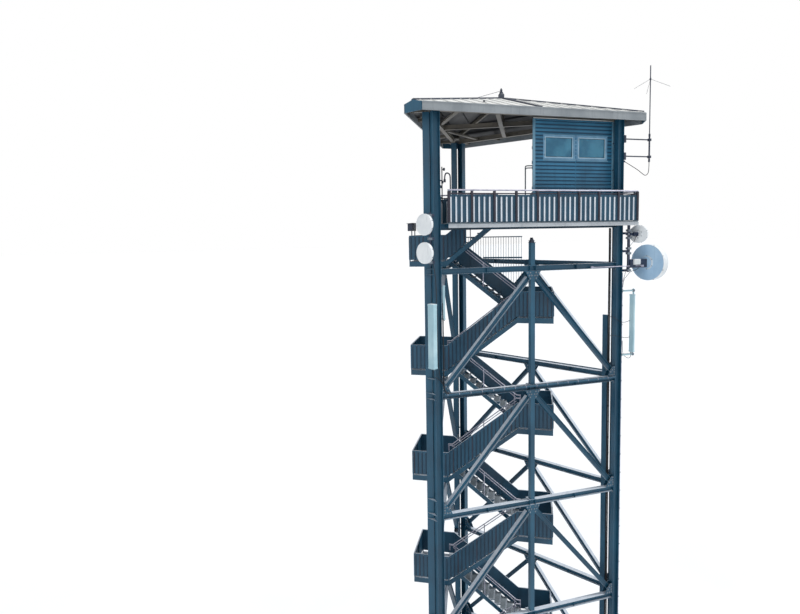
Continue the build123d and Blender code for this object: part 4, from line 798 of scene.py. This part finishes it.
# roof: raised seams on the three planes, edge flashings with their joints, aprons and battens
roof = {"edge": 30.38, "slope": 0.32, "overhang": 0.58, "board": 0.025, "low": 30.11, "left": -0.285,
        "right": 8.085, "seamPitch": 0.46, "seamWide": 0.024, "seamTall": 0.026, "battens": (0.75, 1.4, 2.05),
        "face": -0.603}
roofTilt = math.atan(roof["slope"])
# the front roof plane's frame: X along the eave, Y up the slope
roofPlane = at(0, -roof["overhang"], roof["edge"]) @ Matrix.Rotation(roofTilt, 4, "X")
seams = []
for k in range(1, int((middle - roof["left"]) / roof["seamPitch"]) + 1):
    x = middle - k * roof["seamPitch"]
    top = (x * tan30 + roof["overhang"]) / math.cos(roofTilt)
    seam = startBox((x - roof["seamWide"] / 2, 0, 0), (x + roof["seamWide"] / 2, top + 0.1, roof["seamTall"]))
    pickFaces(seam, toTop)
    bpy.ops.transform.resize(value=(0.5, 1, 1))
    leaveEdit()
    softenEdges(seam, 0.003, 1)
    cutAway(seam, (x, top, 0), (-sin30, cos30 * math.cos(roofTilt), 0))
    seams.append(seam)
seamModel = copied(joined("seams", seams), "seams", [roofPlane, roofPlane @ mirrorSide])
addPiece("roofSeams", seamModel, sides, "whiteSheet", "white_sheet", 40)

face = roof["face"]
lip = softBox((roof["left"] + 0.03, face - 0.015, roof["low"] - 0.004),
              (roof["right"] - 0.03, face, roof["low"] + 0.022), 0.003)
topLip = startBox((roof["left"] + 0.03, face - 0.013, roof["edge"] - 0.035),
                  (roof["right"] - 0.03, face, roof["edge"] + 0.006))
edgeParts = [lip, softenEdges(pushOut(topLip, toTop, (0, 0, 0.004)), 0.003)]
for share in (0.25, 0.5, 0.75):
    x = roof["left"] + share * (roof["right"] - roof["left"])
    edgeParts.append(softBox((x - 0.02, face - 0.0075, roof["low"] + 0.02),
                             (x + 0.02, face - 0.001, roof["edge"] - 0.034), 0.0015, 1))
addPiece("roofEdgeFlashings", edgeParts, sides, "fasciaSheet", "grey_sheet")
apron = pushOut(startBox((roof["left"], -0.004, -0.001), (roof["right"], 0.1, 0.004)), facing(1, 1),
                (0, 0.012, 0), (1, 1, 0.4))
apron.data.transform(roofPlane)
addPiece("roofAprons", apron, sides, "whiteSheet", "white_sheet")

# battens under the sheets, from hip to hip
battens = []
for rise in roof["battens"]:
    y = rise - roof["overhang"]
    reach = max(y, 0) / tan30 + 0.12
    batten = startBox((reach, y - 0.025, 0), (plan["side"] - reach, y + 0.025, 0.04))
    raisePanel(batten, toFoot, 0.008, -0.004)
    batten.data.transform(at(0, 0, roof["edge"] + roof["slope"] * rise - roof["board"] - 0.046))
    battens.append(batten)
addPiece("roofBattens", battens, sides, "underBatten", "dark_trim")
print("roof dressed")

# fasteners of the lattice: one bolt, copied to every gusset, end plate and splice
boltLook = {"head": 0.021, "tall": 0.015, "washer": 0.03, "washerThick": 0.004}
lattice = {"gussetFace": 0.0945, "columnFace": 0.4775, "beam": 0.19, "leftDrop": 0.095, "base": 0.04,
           "splice": 10.3, "spliceHalf": 0.3, "columnHalf": 0.1225, "ribs": (2.15, 3.79, 4.01, 5.65)}


def hexBolt():
    # the washer lies on y = 0 and the head points to -Y
    under = -boltLook["washerThick"]
    washer = startRod(boltLook["washer"], (0, 0.001, 0), (0, under, 0), 12)
    head = startRod(boltLook["head"], (0, 0, 0), (0, under - boltLook["tall"], 0), 6)
    return joined("bolt", [washer, raisePanel(head, toFront, 0.003, 0.002, False)])


# bolts of the gusset under a beam's middle, and of the one at a column's foot
topGusset = [(x, down) for down, row in ((0.05, (0.11, 0.22)), (0.15, (0.06, 0.15)), (0.25, (0.11,)))
             for size in row for x in (-size, size)]
footGusset = [(0.045, 0.07), (0.045, 0.16), (0.045, 0.25), (0.045, 0.34), (0.14, 0.05), (0.23, 0.05),
              (0.13, 0.25), (0.2, 0.17)]
columnFace, columnHalf, base = lattice["columnFace"], lattice["columnHalf"], lattice["base"]
boltSpots, endPlates, beamRibs = [[], [], []], [], []
for k in range(3):
    drop = lattice["leftDrop"] if k == 2 else 0
    beams = [plan["topBeams"] - plan["storey"] * m - drop for m in range(plan["storeys"])]
    feet = [beam + lattice["beam"] / 2 for beam in beams[1:]] + [base]
    for beam, foot in zip(beams, feet):
        local = [(middle + x, beam - lattice["beam"] / 2 - down) for x, down in topGusset]
        for x, up in footGusset:
            local += [(columnFace + x, foot + up), (plan["side"] - columnFace - x, foot + up)]
        for x, z in local:
            boltSpots[k].append(sides[k] @ at(x, -lattice["gussetFace"], z))
            boltSpots[k].append(sides[k] @ at(x, lattice["gussetFace"], z, 180))
        for end in (sides[k], sides[k] @ mirrorSide):
            endPlates.append(end @ at(columnFace, 0, beam))
            boltSpots[k] += [end @ at(columnFace + 0.015, y, beam - 0.125, 90) for y in (-0.06, 0.06)]
        beamRibs += [sides[k] @ at(x, 0, beam, turn) for x in lattice["ribs"] for turn in (0, 180)]
addPiece("beamEndPlates", softBox((0, -0.112, -0.16), (0.015, 0.112, 0.096), 0.004, 1), endPlates,
         "blueSteel", "blue_steel", 0)
beamRib = startBox((-0.004, -0.09, -0.082), (0.004, -0.004, 0.082))
addPiece("beamStiffeners", pushOut(beamRib, toFront, (0, -0.004, 0), (1, 1, 0.9)), beamRibs,
         "blueSteel", "blue_steel", 0)

# splices in the columns, base ribs, and anchor bolts with their nuts
sectionOut = 0.355                              # from a corner point to the middle of each column section
columnSides = [side @ section @ at(0, 0, 0, turn) for side in sides
               for section in (at(sectionOut, 0, 0), at(sectionOut * sin30, sectionOut * cos30, 0, 60))
               for turn in (0, 180)]
boltSpots[0] += [spot @ at(columnHalf + 0.012, y, lattice["splice"] + z, 90) for spot in columnSides
                 for z in (-0.24, -0.16, -0.08, 0.08, 0.16, 0.24) for y in (-0.065, 0.065)]
splice = softBox((columnHalf, -0.105, lattice["splice"] - lattice["spliceHalf"]),
                 (columnHalf + 0.012, 0.105, lattice["splice"] + lattice["spliceHalf"]), 0.003, 1)
addPiece("columnSplices", splice, columnSides, "blueSteel", "blue_steel", 0)
baseRib = startBox((columnHalf, -0.006, base), (columnHalf + 0.1, 0.006, base + 0.2))
cutAway(baseRib, (columnHalf + 0.02, 0, base + 0.2), (0.9, 0, 0.4))
addPiece("baseRibs", baseRib, columnSides, "blueSteel", "blue_steel", 0)
anchorSpots = [side @ frontFrame.inverted() @ at(0, 0, 0, 30) @ at(x, y, base) for side in sides
               for x, y in ((-0.24, -0.4), (0.24, -0.4), (-0.24, 0), (0.24, 0), (-0.24, 0.4), (0.24, 0.4),
                            (0, -0.405), (0, 0.405))]
anchorSpots += [side @ at(middle + x, y, base) for side in sides[:2]
                for x in (-0.14, 0.14) for y in (-0.14, 0.14)]
anchor = [softRod(0.012, (0, 0, 0), (0, 0, 0.062), 12, 0.003, 1),
          softRod(0.024, (0, 0, 0.005), (0, 0, 0.03), 6, 0.002, 1), startRod(0.034, (0, 0, 0), (0, 0, 0.005))]
addPiece("anchorBolts", anchor, anchorSpots, "boltZinc", "galvanised")
for name, spots in zip(("frontBolts", "rightBolts", "leftBolts"), boltSpots):
    addPiece(name, hexBolt(), spots, "boltZinc", "galvanised", 0)

# caps on the post stubs over the highest beams
capLook = {"half": 0.1, "low": 25.889, "thick": 0.012, "shoulder": 0.045, "tall": 0.11}
postCap = startBox((-capLook["half"], -capLook["half"], capLook["low"]),
                   (capLook["half"], capLook["half"], capLook["low"] + capLook["thick"]))
pickFaces(postCap, toTop)
bpy.ops.mesh.inset(thickness=capLook["shoulder"], depth=0)
bpy.ops.mesh.extrude_region_move(TRANSFORM_OT_translate={"value": (0, 0, capLook["tall"])})
bpy.ops.transform.resize(value=(0.8, 0.8, 1))
leaveEdit()
addPiece("postCaps", softenEdges(postCap, 0.004, 1), [side @ at(middle, 0, 0) for side in sides[:2]],
         "darkTrim", "dark_trim")
print("bolts, splices and anchors made")

# dishes: rims, back rings, rim clips, and the large one's back cover, pale blue as painted shade
leftDish = {"turn": 205, "radius": 0.345, "depth": 0.175, "ring": 0.16}
dishes = {
    "large": {"place": (8.495, -0.225, 25.065), "turn": 16, "radius": 0.66, "depth": 0.37, "ring": 0.25,
              "hub": 0.224, "back": 0.076, "shoulder": 0.0185, "cone": 0.0595, "sheet": 0.0015},
    "small": {"place": (8.095, -0.245, 26.115), "turn": 35, "radius": 0.32, "depth": 0.21, "ring": 0.15},
    "leftLow": {"place": (-0.019, -0.191, 25.645), **leftDish},
    "leftHigh": {"place": (-0.019, -0.191, 26.56), **leftDish},
}


def hoop(radius, wide, x0, x1):
    # a flat hoop round the X axis
    return openThrough(startRod(radius, (x0, 0, 0), (x1, 0, 0), 64), wide, 0)


def roundX(degrees):
    return Matrix.Rotation(math.radians(degrees), 4, "X")


rims, clips = [], []
for look in dishes.values():
    # X out of the dish, from the back of its hub
    place = frontFrame @ at(*look["place"], look["turn"])
    r = look["radius"]
    rim = [hoop(r + 0.0035, 0.006, 0.1, 0.13), hoop(look["ring"], 0.016, 0.052, 0.074),
           hoop(r + 0.0035, 0.006, look["depth"] - 0.03, look["depth"] - 0.008)]
    rims.append(copied(softenEdges(joined("rim", rim), 0.002, 1), "rim", [place]))
    clip = startBox((0.078, -0.014, r - 0.002), (0.124, 0.014, r + 0.009))
    raisePanel(clip, toTop, 0.006, 0.003, False)
    clips.append(copied(clip, "clip", [place @ roundX(45 * m + 22.5) for m in range(8)]))
    ringBolt = hexBolt()
    ringBolt.data.transform(at(0, 0, 0, -90) @ Matrix.Scale(0.55, 4))
    clips.append(copied(ringBolt, "ringBolt", [place @ roundX(60 * m) @ at(0.053, 0, look["ring"] - 0.008)
                                               for m in range(6)]))
addPiece("dishRims", rims, None, "whitePlastic", "white_plastic", 40)
addPiece("dishClips", clips, None, "boltZinc", "galvanised", 40)
# the large dish's back: a shallow cone over its reflector, pale blue as painted shade
big = dishes["large"]
coneRadius = big["radius"] - 0.004
clearSelection()
bpy.ops.mesh.primitive_circle_add(vertices=64, radius=coneRadius, fill_type="NGON")
back = bpy.context.object
back.rotation_euler = (0, math.radians(-90), 0)
back.location = (big["back"], 0, 0)
applyPlace(back)
pickFaces(back, lambda centre, normal: True)
bpy.ops.mesh.inset(thickness=coneRadius - big["hub"], depth=0)
bpy.ops.transform.translate(value=(-big["shoulder"], 0, 0))
bpy.ops.mesh.inset(thickness=0.002, depth=0)
bpy.ops.transform.translate(value=(-big["cone"], 0, 0))
leaveEdit()
applyModifier(back, "SOLIDIFY", thickness=big["sheet"], offset=1)
addPiece("largeDishBack", back, [frontFrame @ at(*big["place"], big["turn"])], "dishBackShade", "pale_plastic", 30)


def radioUnit(wide, tall, deep, fins):
    # a cast case that looks towards -Y, with cooling fins on its front
    parts = [softBox((-wide, -tall, 0), (wide, tall, deep), 0.012, 3)]
    step = (2 * wide - 0.03) / fins
    for m in range(fins):
        x = 0.015 - wide + step * (m + 0.5)
        parts.append(softBox((x - 0.003, 0.012 - tall, deep - 0.002), (x + 0.003, tall - 0.012, deep + 0.014),
                             0.0015, 1))
    case = joined("case", parts)
    case.data.transform(roundX(90))
    return case


# radio units, with half width, half height, depth and number of fins, and their cable glands
radios = {"largeDishRadio": {"case": (0.13, 0.1, 0.1, 7), "place": (8.02, -0.274, 25.11),
                             "finish": ("whitePlastic", "white_plastic")},
          "smallDishRadio": {"case": (0.09, 0.075, 0.08, 5), "place": (7.96, -0.274, 26.12),
                             "finish": ("navyPaint", "dark_trim")}}
glands = {"radius": 0.016, "long": 0.04, "places": ((7.96, -0.33, 25.012), (8.08, -0.33, 25.012),
                                                    (7.93, -0.32, 26.048), (7.99, -0.32, 26.048))}
for name, look in radios.items():
    addPiece(name, radioUnit(*look["case"]), [frontFrame @ at(*look["place"])], *look["finish"])
addPiece("radioGlands", softRod(glands["radius"], (0, 0, 0), (0, 0, -glands["long"]), 16, 0.004),
         [frontFrame @ at(*spot) for spot in glands["places"]], "blackCable", "dark_trim")


# clamps on the dish pipes: two shells with four bolts, at each clip and arm
def pipeClamp(radius):
    half = radius + 0.014
    out = half + 0.012
    parts = [raisePanel(startBox((-half, -half, -0.04), (half, half, 0.04)), facing(1), 0.01, 0.004)]
    for side in (-1, 1):
        for z in (-0.022, 0.022):
            parts.append(softRod(0.007, (side * out, -out, z), (side * out, out, z), 10, 0.002, 1))
        near, end = sorted((side * (half - 0.002), side * (half + 0.024)))
        parts.append(softBox((near, -0.02, -0.036), (end, 0.02, 0.036), 0.003, 1))
    return parts


pipes = {"leftPipeClamps": {"radius": 0.038, "x": 0.09, "y": -0.14,
                            "heights": (25.33, 25.645, 26.1, 26.56, 26.86)},
         "rightPipeClamps": {"radius": 0.052, "x": 7.775, "y": -0.165,
                             "heights": (24.8, 25.42, 25.6, 25.98, 26.115, 26.25)}}
for name, look in pipes.items():
    spots = [frontFrame @ at(look["x"], look["y"], z) for z in look["heights"]]
    addPiece(name, pipeClamp(look["radius"]), spots, "boltZinc", "galvanised", 40)

# side strut of the large dish, from the front beam to its mount
strutLook = {"radius": 0.017, "from": (6.275, -0.113, 24.95), "to": (8.3, -0.285, 24.965)}
strut = [softRod(strutLook["radius"], strutLook["from"], strutLook["to"], 16, 0.004)]
strut += [softBox((x - 0.05, y - 0.02, 24.915), (x + 0.05, y + 0.022, 24.99), 0.008)
          for x, y in ((6.275, -0.108), (8.3, -0.285))]
addPiece("dishStrut", strut, [frontFrame], "paleRail", "galvanised")

# whip antenna: clamps on the column and on the mast, a foot, radials under the tip
whip = {"x": 8.67, "y": -0.1, "foot": 28.78, "arms": (28.92, 29.53), "collar": (29.64, 29.75),
        "radials": 3, "reach": 0.69, "radialTop": 31.7, "radialLow": 31.32, "hub": (31.655, 31.735)}


def onWhip(z, x=0.0, y=0.0):
    return whip["x"] + x, whip["y"] + y, z


whipParts = []
for z in whip["arms"]:
    box = startBox((7.556, -0.135, z - 0.13), (7.64, -0.055, z + 0.13))
    raisePanel(box, lambda centre, normal: normal.y < -0.9 or normal.x > 0.9, 0.012, 0.006)
    grip = startBox(onWhip(z - 0.045, -0.05, -0.05), onWhip(z + 0.045, 0.05, 0.05))
    whipParts += [softenEdges(box, 0.003, 1), softenEdges(raisePanel(grip, facing(1), 0.012, 0.006), 0.003, 1)]
whipParts.append(softRod(0.034, onWhip(whip["foot"] - 0.05), onWhip(whip["foot"] + 0.06), 20, 0.008, 3))
whipParts.append(softRod(0.036, *map(onWhip, whip["collar"]), 20, 0.012, 3))
addPiece("whipFittings", whipParts, [frontFrame], "darkTrim", "dark_trim")
radials = []
for m in range(whip["radials"]):
    a = math.pi + 2 * math.pi * m / whip["radials"]
    tip = onWhip(whip["radialLow"], whip["reach"] * math.cos(a), whip["reach"] * math.sin(a))
    radials.append(softRod(0.0055, onWhip(whip["radialTop"]), tip, 10, 0.001, 1))
radials.append(softRod(0.03, *map(onWhip, whip["hub"]), 16, 0.008))
addPiece("whipRadials", radials, [frontFrame], "darkTrim", "dark_trim")

# lightning rod wire on the roof, the box and knob on its top, and the roof anchors
topLook = {"knob": 0.045, "knobSpan": (31.5, 31.6), "boxHalf": 0.085, "boxSpan": (31.26, 31.42), "wire": 0.008}
ax, ay, half = middle, plan["height"] / 3, topLook["boxHalf"]
knob = startRod(topLook["knob"], *((ax, ay, z) for z in topLook["knobSpan"]), 20)
pushOut(knob, toTop, (0, 0, 0.05), (0.4, 0.4, 1))
topBox = startBox((ax - half, ay - half, topLook["boxSpan"][0]), (ax + half, ay + half, topLook["boxSpan"][1]))
raisePanel(topBox, toTop, 0.02, 0.04, False)
addPiece("roofTopFittings", [softRod(topLook["wire"], (ax, ay, 31.56), (2.76, ay, 31.215), 10, 0.002, 1),
                             softenEdges(knob, 0.004), softenEdges(topBox, 0.004, 1),
                             softBox((2.72, ay - 0.03, 31.16), (2.8, ay + 0.03, 31.225), 0.008)],
         [frontFrame], "darkTrim", "dark_trim")
eyeLook = {"radius": 0.032, "tall": 0.06, "plate": 0.07, "places": ((2.209, 0.842), (5.79, 1.31))}
eye = raisePanel(startRod(eyeLook["radius"], (0, 0, 0), (0, 0, eyeLook["tall"])), toTop, 0.01, -0.02, False)
plate = softBox((-eyeLook["plate"], -eyeLook["plate"], 0), (eyeLook["plate"], eyeLook["plate"], 0.008), 0.004, 1)
eyeSpots = [side @ roofPlane @ at(x, up, 0) for side in sides for x, up in eyeLook["places"]]
addPiece("roofAnchors", [softenEdges(eye, 0.003, 1), plate], eyeSpots, "darkTrim", "dark_trim")
print("aerials and dishes dressed")


# cables that the ladders, columns and ducts hold: each a smooth line given its thickness
def cableLine(name, points, radius):
    line = bpy.data.curves.new(name, "CURVE")
    line.dimensions = "3D"
    line.bevel_depth = radius
    line.bevel_resolution = 1
    line.resolution_u = 3
    run = line.splines.new("NURBS")
    run.points.add(len(points) - 1)
    for spot, point in zip(run.points, points):
        spot.co = (*point, 1)
    run.order_u = 3
    run.use_endpoint_u = True
    line.use_fill_caps = True
    piece = bpy.data.objects.new(name, line)
    scene.collection.objects.link(piece)
    return piece


def cableAlong(points, radius):
    piece = cableLine("cable", points, radius)
    makeActive(piece)
    bpy.ops.object.convert(target="MESH")
    return piece


def addCables(name, cables, places, finish="blackCable", slotName="dark_trim"):
    addPiece(name, cables, places, finish, slotName, 60)


def addClips(name, clip, side):
    first, pitch, count = clipLook[name]
    addPiece(name, clip, [side @ at(0, 0, first + pitch * m) for m in range(count)], "boltZinc", "galvanised", 40)


cableLook = {"top": 20.867, "from": 0.545, "to": 7.255, "pitch": 0.42, "sizes": (0.014, 0.011, 0.014, 0.009),
             "across": (-0.118, -0.143, -0.168, -0.19), "sag": 0.004, "sway": 0.004, "hooks": 16}
# the lowest clip's height, the pitch and the number of clips
clipLook = {"columnCableClips": (21.4, 0.6, 9), "ductCableClips": (1.0, 0.6, 42), "paleCableClips": (4.6, 0.7, 29)}
ladderSteps = 2 * int((cableLook["to"] - cableLook["from"]) / cableLook["pitch"])
ladderCables = []
for m, (radius, y) in enumerate(zip(cableLook["sizes"], cableLook["across"])):
    z = cableLook["top"]
    points = [(0.497 + radius, y + 0.012, z + 3.1 - 0.25 * m), (0.497 + radius, y + 0.006, z + 0.6),
              (0.505 + radius, y, z + 0.12)]
    for step in range(1, ladderSteps + 1):
        x = cableLook["from"] + (cableLook["to"] - cableLook["from"]) * step / ladderSteps
        points.append((x, y + cableLook["sway"] * math.sin(1.7 * step + 2 * m),
                       z + radius - cableLook["sag"] * (step % 2) + 0.002))
    ladderCables.append(cableAlong(points, radius))
addCables("ladderCables", ladderCables, sides[:2])

# hooks that keep the cables on the ladders, one beside each rung
hook = cutAway(openFrame((0, -0.222, 20.852), (0.014, -0.09, 20.92), 0.007, 0), (0, -0.155, 0), (0, 1, 0))
hookSpots = [side @ at(0.62 + cableLook["pitch"] * m, 0, 0)
             for side in sides[:2] for m in range(cableLook["hooks"])]
addPiece("cableHooks", softenEdges(hook, 0.002, 1), hookSpots, "paleRail", "galvanised", 40)

# dark bundle up the right side's column, with its clips
darkRuns = [cableAlong([(0.497, y, 26.35), (0.499, y + 0.004, 24.0), (0.497, y, 21.6), (0.51, y, 21.05),
                        (0.6, y - 0.12, 20.9)], 0.011) for y in (-0.06, -0.035, -0.01)]
addCables("columnCables", darkRuns, [sides[1]])
clip = raisePanel(startBox((0.48, -0.078, -0.02), (0.515, 0.008, 0.02)), toRight, 0.008, 0.004)
addClips("columnCableClips", clip, sides[1])
# the cables that come down between the right column and the duct, on short clips
gapRuns = []
for m, (x, radius) in enumerate(((0.517, 0.011), (0.541, 0.012), (0.567, 0.012), (0.589, 0.009))):
    points = [(x + 0.003 * math.sin(1.9 * step + m), 0.118 + radius, 26.35 - 1.2 * step) for step in range(22)]
    gapRuns.append(cableAlong(points + [(x + 0.01, 0.13, 0.5), (0.61, 0.135, 0.42)], radius))
addCables("ductCables", gapRuns, [sides[1]])
clip = raisePanel(startBox((0.506, 0.11, -0.014), (0.602, 0.119, 0.014)), toFront, 0.006, 0.003)
addClips("ductCableClips", clip, sides[1])
# pale bundle on the right column's outer flange
paleRuns = [cableAlong([(7.585, y, 24.7), (7.587, y + 0.004, 23.2), (7.583, y - 0.003, 22.0), (7.585, y, 20.6),
                        (7.584, y, 16.0), (7.585, y, 4.4)], 0.013) for y in (-0.1, -0.072, -0.044)]
addCables("paleCables", paleRuns, [frontFrame], "paleRail", "galvanised")
clip = raisePanel(startBox((7.566, -0.118, -0.018), (7.603, -0.026, 0.018)), toRight, 0.008, 0.004)
addClips("paleCableClips", clip, frontFrame)

# leads at the right column's slender aerial, the left column's aerials and the right dishes
leadRoutes = (
    # the lead's radius, then its points
    (0.009, (6.99, -0.1, 23.13), (7.15, -0.125, 23.14), (7.32, -0.132, 23.02), (7.45, -0.133, 22.93),
     (7.58, -0.133, 22.88), (7.8, -0.16, 22.9), (7.99, -0.18, 23.0)),
    (0.009, (6.99, -0.1, 22.42), (7.15, -0.124, 22.44), (7.32, -0.132, 22.4), (7.45, -0.133, 22.36),
     (7.58, -0.133, 22.33), (7.8, -0.16, 22.3), (7.99, -0.18, 22.36)),
    (0.009, (7.94, -0.19, 21.79), (7.93, -0.19, 21.6), (7.85, -0.17, 21.52), (7.7, -0.14, 21.6),
     (7.6, -0.12, 21.75), (7.597, -0.12, 22.2)),
    (0.011, (0.1, -0.25, 21.85), (0.11, -0.24, 21.62), (0.17, -0.19, 21.5), (0.24, -0.132, 21.5),
     (0.35, -0.13, 21.42), (0.46, -0.13, 21.3), (0.508, -0.14, 21.2)),
    (0.011, (0.13, -0.13, 25.5), (0.17, -0.128, 25.3), (0.23, -0.128, 25.12), (0.3, -0.13, 24.5),
     (0.31, -0.13, 22.0), (0.4, -0.132, 21.4), (0.5, -0.14, 21.25)),
    (0.009, (8.14, -0.35, 25.0), (8.13, -0.34, 24.9), (8.0, -0.27, 24.8), (7.83, -0.22, 24.76),
     (7.72, -0.17, 24.6), (7.6, -0.13, 24.45), (7.59, -0.12, 24.2)),
    (0.009, (7.95, -0.32, 26.02), (7.94, -0.31, 25.9), (7.86, -0.26, 25.8), (7.735, -0.2, 25.6),
     (7.71, -0.19, 25.0), (7.65, -0.15, 24.65), (7.592, -0.12, 24.4)))
addCables("aerialLeads", [cableAlong(points, radius) for radius, *points in leadRoutes], [frontFrame])

# the feed of the whip: it hangs free between its clip on the column and the mast's foot
feedLook = {"length": 1.61, "diameter": 0.024}
feedPoints = [(7.585, -0.1, 28.737), (7.9, -0.1, 28.585), (8.2, -0.1, 28.43), (8.38, -0.1, 28.31),
              (8.52, -0.1, 28.23), (8.65, -0.1, 28.33), (8.668, -0.1, 28.54), (8.67, -0.1, 28.74)]
feedPoints = [frontFrame @ Vector(point) for point in feedPoints]
whipFeed = cableLine("whipFeed", feedPoints, feedLook["diameter"] / 2)
whipFeed.data.resolution_u = 8
whipFeed.data.bevel_resolution = 3
finishPiece(whipFeed, "blackCable", 0)
clip = raisePanel(startBox((7.562, -0.128, 28.7), (7.612, -0.072, 28.76)), toRight, 0.012, 0.006)
addPiece("whipFeedClip", softenEdges(clip, 0.003, 1), [frontFrame], "darkTrim", "dark_trim")

# slender aerials: end caps, connectors and two-part clamps
aerials = {"left": {"place": (0.095, -0.25), "turn": 205, "size": (0.19, 0.26), "span": (21.84, 23.97)},
           "right": {"place": (7.95, -0.2), "turn": 205, "size": (0.1, 0.18), "span": (21.78, 23.91)},
           "inner": {"place": (0.5875, 0.0), "turn": 270, "size": (0.08, 0.1), "span": (23.4, 24.54)}}
caps, plugs = [], []
for look in aerials.values():
    here = [frontFrame @ at(*look["place"], 0, look["turn"])]
    wide, deep = (size / 2 + 0.003 for size in look["size"])
    z0, z1 = look["span"]
    for low, high in ((z0 - 0.004, z0 + 0.05), (z1 - 0.05, z1 + 0.004)):
        cap = raisePanel(startBox((-wide, -deep, low), (wide, deep, high)), facing(2), 0.012, 0.004, False)
        caps.append(copied(softenEdges(cap, 0.012, 3), "cap", here))
    for y in (-look["size"][1] / 4, look["size"][1] / 4):
        plugs.append(copied(softRod(0.014, (0, y, z0), (0, y, z0 - 0.05), 14, 0.003), "plug", here))
addPiece("aerialCaps", caps, None, "palePlastic", "pale_plastic")
addPiece("aerialPlugs", plugs, None, "boltZinc", "galvanised")
# each clamp: its heights, the block at the aerial and the plate at the column, in x, y and half height
clampLook = (((22.14, 23.66), (0.135, 0.2, -0.236, -0.1, 0.045), (0.2, 0.28, -0.135, -0.112, 0.06)),
             ((21.68, 24.05), (7.98, 8.056, -0.215, -0.125, 0.04), (7.562, 7.6, -0.135, -0.06, 0.05)))
clamps = []
for heights, block, plate in clampLook:
    for (x0, x1, y0, y1, half), width, segments in ((block, 0.005, 2), (plate, 0.004, 1)):
        clamps += [softBox((x0, y0, z - half), (x1, y1, z + half), width, segments) for z in heights]
addPiece("aerialClamps", clamps, [frontFrame], "boltZinc", "galvanised")

# fittings on the deck by the left column: a bent vent pipe, and a mast with two arms and three pods
ventLook = {"x": 1.08, "y": 0.5, "mouthX": 0.875, "radius": 0.024}
mastLook = {"x": 0.62, "y": 0.1, "low": 27.25, "high": 28.45, "arms": (27.45, 28.0), "pods": (27.75, 27.9, 28.32)}
vx, vy, mouthX = ventLook["x"], ventLook["y"], ventLook["mouthX"]
ventRoute = ((vx, 26.6), (vx, 27.4), (vx, 28.1), (1.07, 28.24), (0.98, 28.3), (0.9, 28.27), (mouthX, 28.15),
             (mouthX, 28.06))
mouth = startRod(0.04, (mouthX, vy, 28.08), (mouthX, vy, 27.98), 20)
mx, my = mastLook["x"], mastLook["y"]
sensorParts = [cableAlong([(x, vy, z) for x, z in ventRoute], ventLook["radius"]),
               raisePanel(mouth, toFoot, 0.01, -0.03, False),
               softRod(0.075, (vx, vy, 26.6), (vx, vy, 26.615), 24, 0.004, 1),
               softRod(0.018, (mx, my, mastLook["low"]), (mx, my, mastLook["high"]), 16, 0.004)]
for z in mastLook["arms"]:
    sensorParts.append(softBox((0.47, my - 0.018, z - 0.02), (0.64, my + 0.018, z + 0.02), 0.004, 1))
for m, z in enumerate(mastLook["pods"]):
    x = mx + 0.06 * (m - 1)
    sensorParts.append(softRod(0.036, (x, my - 0.03, z), (x, my - 0.03, z + 0.09), 18, 0.012, 3))
    sensorParts.append(softRod(0.012, (mx, my, z + 0.04), (mx + 0.09 * (m - 1), 0.06, z + 0.04), 12, 0.003, 1))
addPiece("deckSensor", sensorParts, [frontFrame], "darkTrim", "dark_trim")

# boxes on the end panel of the highest left landing
endFace = [stairFrame @ at(left - 0.02, 0, 0, -90)]
paleBox = raisePanel(startBox((-0.68, -0.12, 25.4), (-0.12, 0.0, 25.68)), toFront, 0.03, 0.008)
addPiece("landingBox", softenEdges(paleBox, 0.008), endFace, "palePlastic", "pale_plastic")
cabinetParts = [softRod(0.02, (x, 0.04, 26.12), (x, 0.04, 26.66), 14, 0.004, 1) for x in (-0.1, 0.5)]
cabinet = raisePanel(startBox((-0.2, -0.1, 26.36), (0.6, 0.08, 26.66)), toFront, 0.025, 0.008)
hood = slideFaces(startBox((-0.24, -0.14, 26.66), (0.64, 0.1, 26.674)), toFront, (0, 0, -0.02))
cabinetParts += [softenEdges(cabinet, 0.006), softenEdges(hood, 0.003, 1)]
addPiece("landingCabinet", cabinetParts, endFace, "darkTrim", "dark_trim")

# deck: lips and joints of its edge boards
deckLook = {"low": 26.44, "high": 26.555, "face": 0.468, "from": 0.62, "to": 7.94, "joints": (2.45, 4.28, 6.11)}
low, high, back = deckLook["low"], deckLook["high"], 0.002 - deckLook["face"]
lips = [softBox((deckLook["from"], -deckLook["face"] - 0.008, z0), (deckLook["to"], back, z1), 0.003, 1)
        for z0, z1 in ((low - 0.003, low + 0.016), (high - 0.014, high + 0.004))]
lips += [softBox((x - 0.03, -deckLook["face"] - 0.004, low + 0.014), (x + 0.03, back, high - 0.012), 0.0015, 1)
         for x in deckLook["joints"]]
addPiece("deckEdgeTrim", lips, [frontFrame, flipStair @ frontFrame], "greySheet", "grey_sheet")
print("cables, aerials and deck edges made")

# a wide, pale and matt floor
floorLook = {"size": 1800.0, "centre": (3.6, 2.1, 0), "dark": (238, 240, 242), "light": (244, 245, 246)}
clearSelection()
bpy.ops.mesh.primitive_plane_add(size=floorLook["size"], location=floorLook["centre"])
ground = bpy.context.object
ground.name = "studioFloor"
applyPlace(ground)
groundPaint, tree, shader, coords = newMaterial("studioFloorPaint")
patches = ranged(tree, noiseOn(tree, coords, 0.05, 3.0), 0.3, 0.7)
colour = mixTones(tree, patches, tone(*floorLook["dark"]), tone(*floorLook["light"]))
setSockets(tree, ((shader.inputs["Roughness"], 0.9), (shader.inputs["Base Color"], colour)))
ground.data.materials.append(groundPaint)
